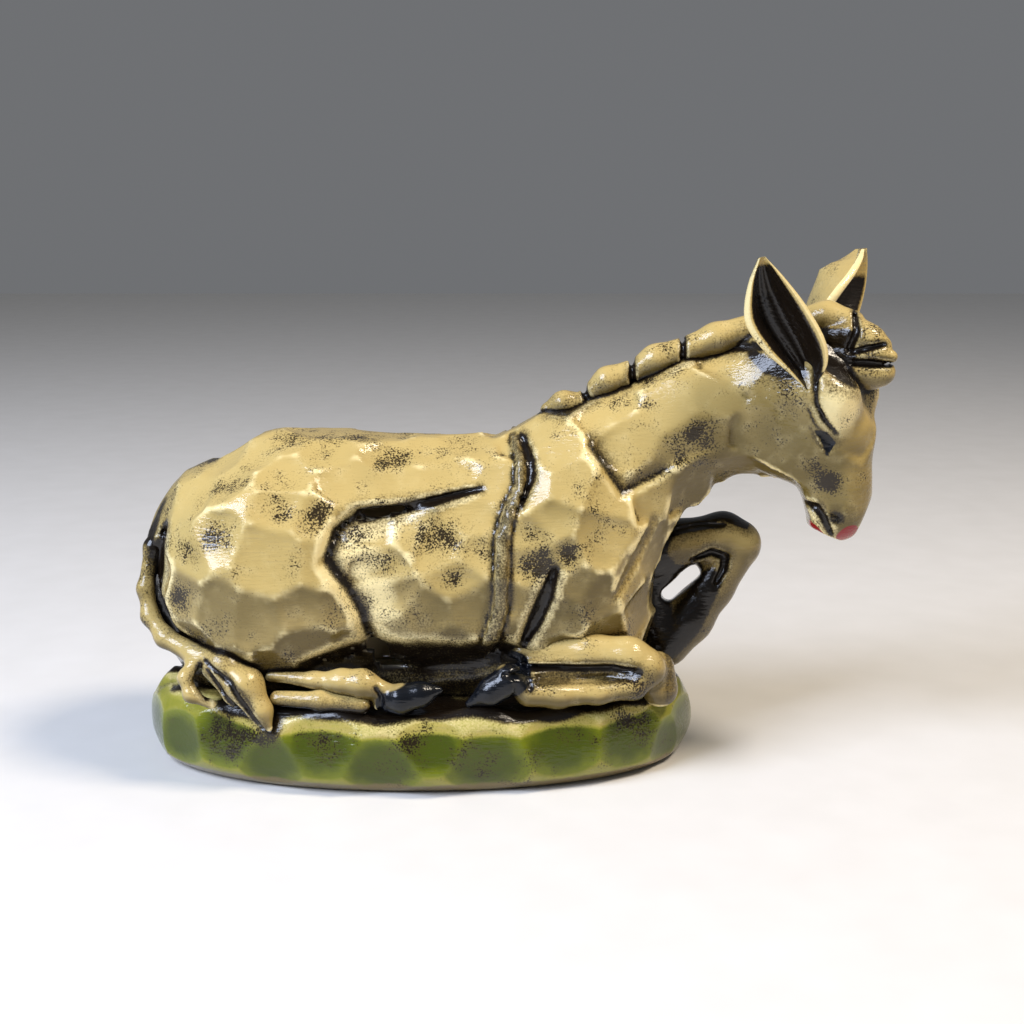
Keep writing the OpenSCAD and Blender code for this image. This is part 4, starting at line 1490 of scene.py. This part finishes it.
@dataclass
class Stopper:
    """The rubber stopper: a flange with a pull tab, a plug, and a thin cup above it."""

    step: float = 0.45

    def build(self, material: bpy.types.Material, slot: str) -> bpy.types.Object:
        """Turns the flange, plug and cup, joins the tab and rounds every edge."""
        low, high = (np.array(corner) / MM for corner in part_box("stopper"))
        radius = (high[1] - low[1]) / 2
        x0, z0, top = low[0] + radius, low[2], high[2]
        plug, wall, flange = radius - 4.05, 2.0, 1.8
        block = Block("stopper_rubber", [[(low[0] - 2, self.step), (high[0] + 2, self.step)],
                                         [(low[1] - 2, self.step), (high[1] + 2, self.step)],
                                         [(z0 - 1.5, self.step * 0.7), (top + 1.5, self.step * 0.7)]])
        at = block.at
        r = np.hypot(at.x - x0, at.y)

        def disc(size: Array, bottom: float, lid: float, soft: float, inset: Array) -> Array:
            """An upright round block with rounded edges, as long as inset is its radius."""
            a = inset - size + soft
            b = np.maximum(bottom - at.z, at.z - lid) + soft
            return np.minimum(np.maximum(a, b), 0.0) + np.hypot(np.maximum(a, 0), np.maximum(b, 0)) - soft

        mass = disc(radius, z0, z0 + flange, 0.7, r)
        lean = plug - smooth(z0 + flange + 4.0, top, at.z) * 1.0
        mass = merge(mass, disc(lean, z0, top, 0.6, r), 0.8)
        tab_end = high[0] - 5.5
        tab_start = x0 + radius * 0.6
        along = np.maximum(np.abs(at.x - (tab_start + tab_end) / 2) - (tab_end - tab_start) / 2, 0.0)
        mass = merge(mass, disc(5.5, z0, z0 + flange, 0.7, np.hypot(along, at.y)), 1.0)
        for place in (tab_end - 2.4, tab_end, tab_end + 2.4):
            grip = np.maximum(np.hypot(at.x - place, at.z - z0) - 0.6, np.abs(at.y) - 3.4)
            mass = cut(mass, grip, 0.3)
        ring = np.hypot(r - radius + 2.2, at.z - z0) - 0.45
        mass = cut(mass, ring, 0.3)
        hollow = disc(plug - 1.0 - wall, z0 + wall, top + 8.0, 1.2, r)
        block.field = np.broadcast_to(cut(mass, hollow, 0.6), block.field.shape).astype(np.float32)
        points, faces = block.skin()
        return new_piece("stopper_moulding", points, faces, material, "stopper", "stopper")


@dataclass
class Studio:
    """A pale floor, soft lights and the camera."""

    camera_at: Triple = (0.0008, -0.372, 0.148)
    look_down: float = 12.7
    lens: float = 51.96
    size: float = 1.6

    def build(self) -> None:
        """Sets up the floor, world, lights and camera."""
        self.floor()
        bpy.context.scene.view_settings.view_transform = "Standard"
        world = bpy.data.worlds.new("studio_air")
        bpy.context.scene.world = world
        world.use_nodes = True
        back = world.node_tree.nodes["Background"]
        back.inputs["Color"].default_value = linear("#E6E9EE")
        back.inputs["Strength"].default_value = 0.2
        self.light("window", (-0.55, -0.42, 0.6), (0.0, 0.0, 0.05), 0.46, 11.5, "#DAE6FF")
        self.light("lamp", (0.4, -0.15, 0.7), (0.0, 0.0, 0.05), 0.2, 5.0, "#FFF0DA")
        camera = bpy.data.cameras.new("camera")
        camera.lens, camera.sensor_width, camera.clip_start = self.lens, 36.0, 0.01
        eye = bpy.data.objects.new("camera", camera)
        eye.location = self.camera_at
        eye.rotation_euler = (math.radians(90.0 - self.look_down), 0.0, 0.0)
        bpy.context.scene.collection.objects.link(eye)
        bpy.context.scene.camera = eye

    def light(self, name: str, place: Triple, aim: Triple, size: float, power: float, colour: str) -> None:
        """Adds a square soft light that faces a place."""
        lamp = bpy.data.lights.new(name, "AREA")
        lamp.size, lamp.energy, lamp.color = size, power, linear(colour)[:3]
        holder = bpy.data.objects.new(name, lamp)
        away = np.array(place) - np.array(aim)
        flat = math.hypot(away[0], away[1])
        holder.location = place
        holder.rotation_euler = (math.atan2(flat, away[2]), 0.0, math.atan2(away[0], -away[1]))
        bpy.context.scene.collection.objects.link(holder)

    def floor(self) -> None:
        """Lays a wide square floor with a faint mottle."""
        material = bpy.data.materials.new("pale_studio_card")
        material.use_nodes = True
        tree = material.node_tree
        shader = tree.nodes["Principled BSDF"]
        shader.inputs["Roughness"].default_value = 0.6
        place = add_node(tree, "ShaderNodeTexCoord").outputs["Object"]
        grain = add_node(tree, "ShaderNodeTexNoise", {"Vector": place}, {"Scale": 60.0})
        colour = add_node(tree, "ShaderNodeMix", {0: grain.outputs["Fac"]},
                          {6: linear("#D9D6D0"), 7: linear("#E2DFDA")}, data_type="RGBA")
        tree.links.new(colour.outputs[2], shader.inputs["Base Color"])
        side = np.array([-self.size, self.size])
        corners = np.stack([side[[0, 1, 1, 0]], side[[0, 0, 1, 1]], np.zeros(4)], 1)
        mesh = bpy.data.meshes.new("floor")
        mesh.from_pydata(corners.tolist(), [], [(0, 1, 2, 3)])
        mesh.materials.append(material)
        floor = bpy.data.objects.new("floor", mesh)
        bpy.context.scene.collection.objects.link(floor)


def ears() -> list[Ear]:
    """The near ear, open towards the near side, and the far one, open towards the face."""
    return [
        Ear("near_ear_cast", "near_ear",
            left=[(71.5, -19.6, 98.5), (66, -20.8, 103.5), (60.5, -21.2, 108.5), (56.2, -21.2, 115),
                  (56.4, -21.6, 123),
                  (58.6, -21.8, 129.8)],
            right=[(73.3, -19.8, 99), (76.3, -20.4, 104.5), (75.6, -20.6, 110.5), (71.2, -20.6, 118),
                   (65.2, -21.3, 125.2), (60.2, -21.8, 130.2)],
            opening=(0.12, -1.0, 0.1), cup=4.6, back=5.5),
        Ear("far_ear_cast", "far_ear",
            left=[(75.5, -1, 101), (77, 1.5, 108), (79.5, 3.8, 114.5), (83.5, 5.2, 120), (88, 9, 124.5),
                  (91, 13.8, 127.8), (92.5, 18.4, 130.2)],
            right=[(80, 2, 98), (85, 8, 102.5), (89.5, 14, 107.5), (92.6, 18.6, 113.5), (94.2, 21, 119.5),
                   (94.4, 21.2, 125.2), (93.6, 19.8, 130.4)],
            opening=(0.9, -0.42, 0.1), cup=4.5, back=10.0, fold=1.3, dark_to=123.0)]


def main() -> None:
    """Builds the bank piece by piece."""
    Studio().build()
    figure = Figure("body_cast", "body_shell")
    parts = limbs()
    ear_pair = ears()
    for casting in [figure, *parts]:
        casting.set_out()
        LOG.info("set out %s", casting.name)
    figure.near = list(parts)
    for part in parts:
        part.near = [figure]
    for ear in ear_pair:
        ear.near = [figure]
    coat = VarnishedPaint("varnished_oil_paint_on_slip_casting").build()
    moss = MossPaint("varnished_moss_paint_on_slip_casting").build()
    for casting in [figure, *parts, *ear_pair]:
        casting.build(coat, "dark_paint" if casting.node == "far_hind_leg" else "coat_paint")
    Plinth().build(moss, "plinth_paint", [figure, *parts])
    Stopper().build(MouldedRubber().build(), "stopper_rubber")


if __name__ == "__main__":
    logging.basicConfig(level=logging.INFO, format="%(message)s")
    main()
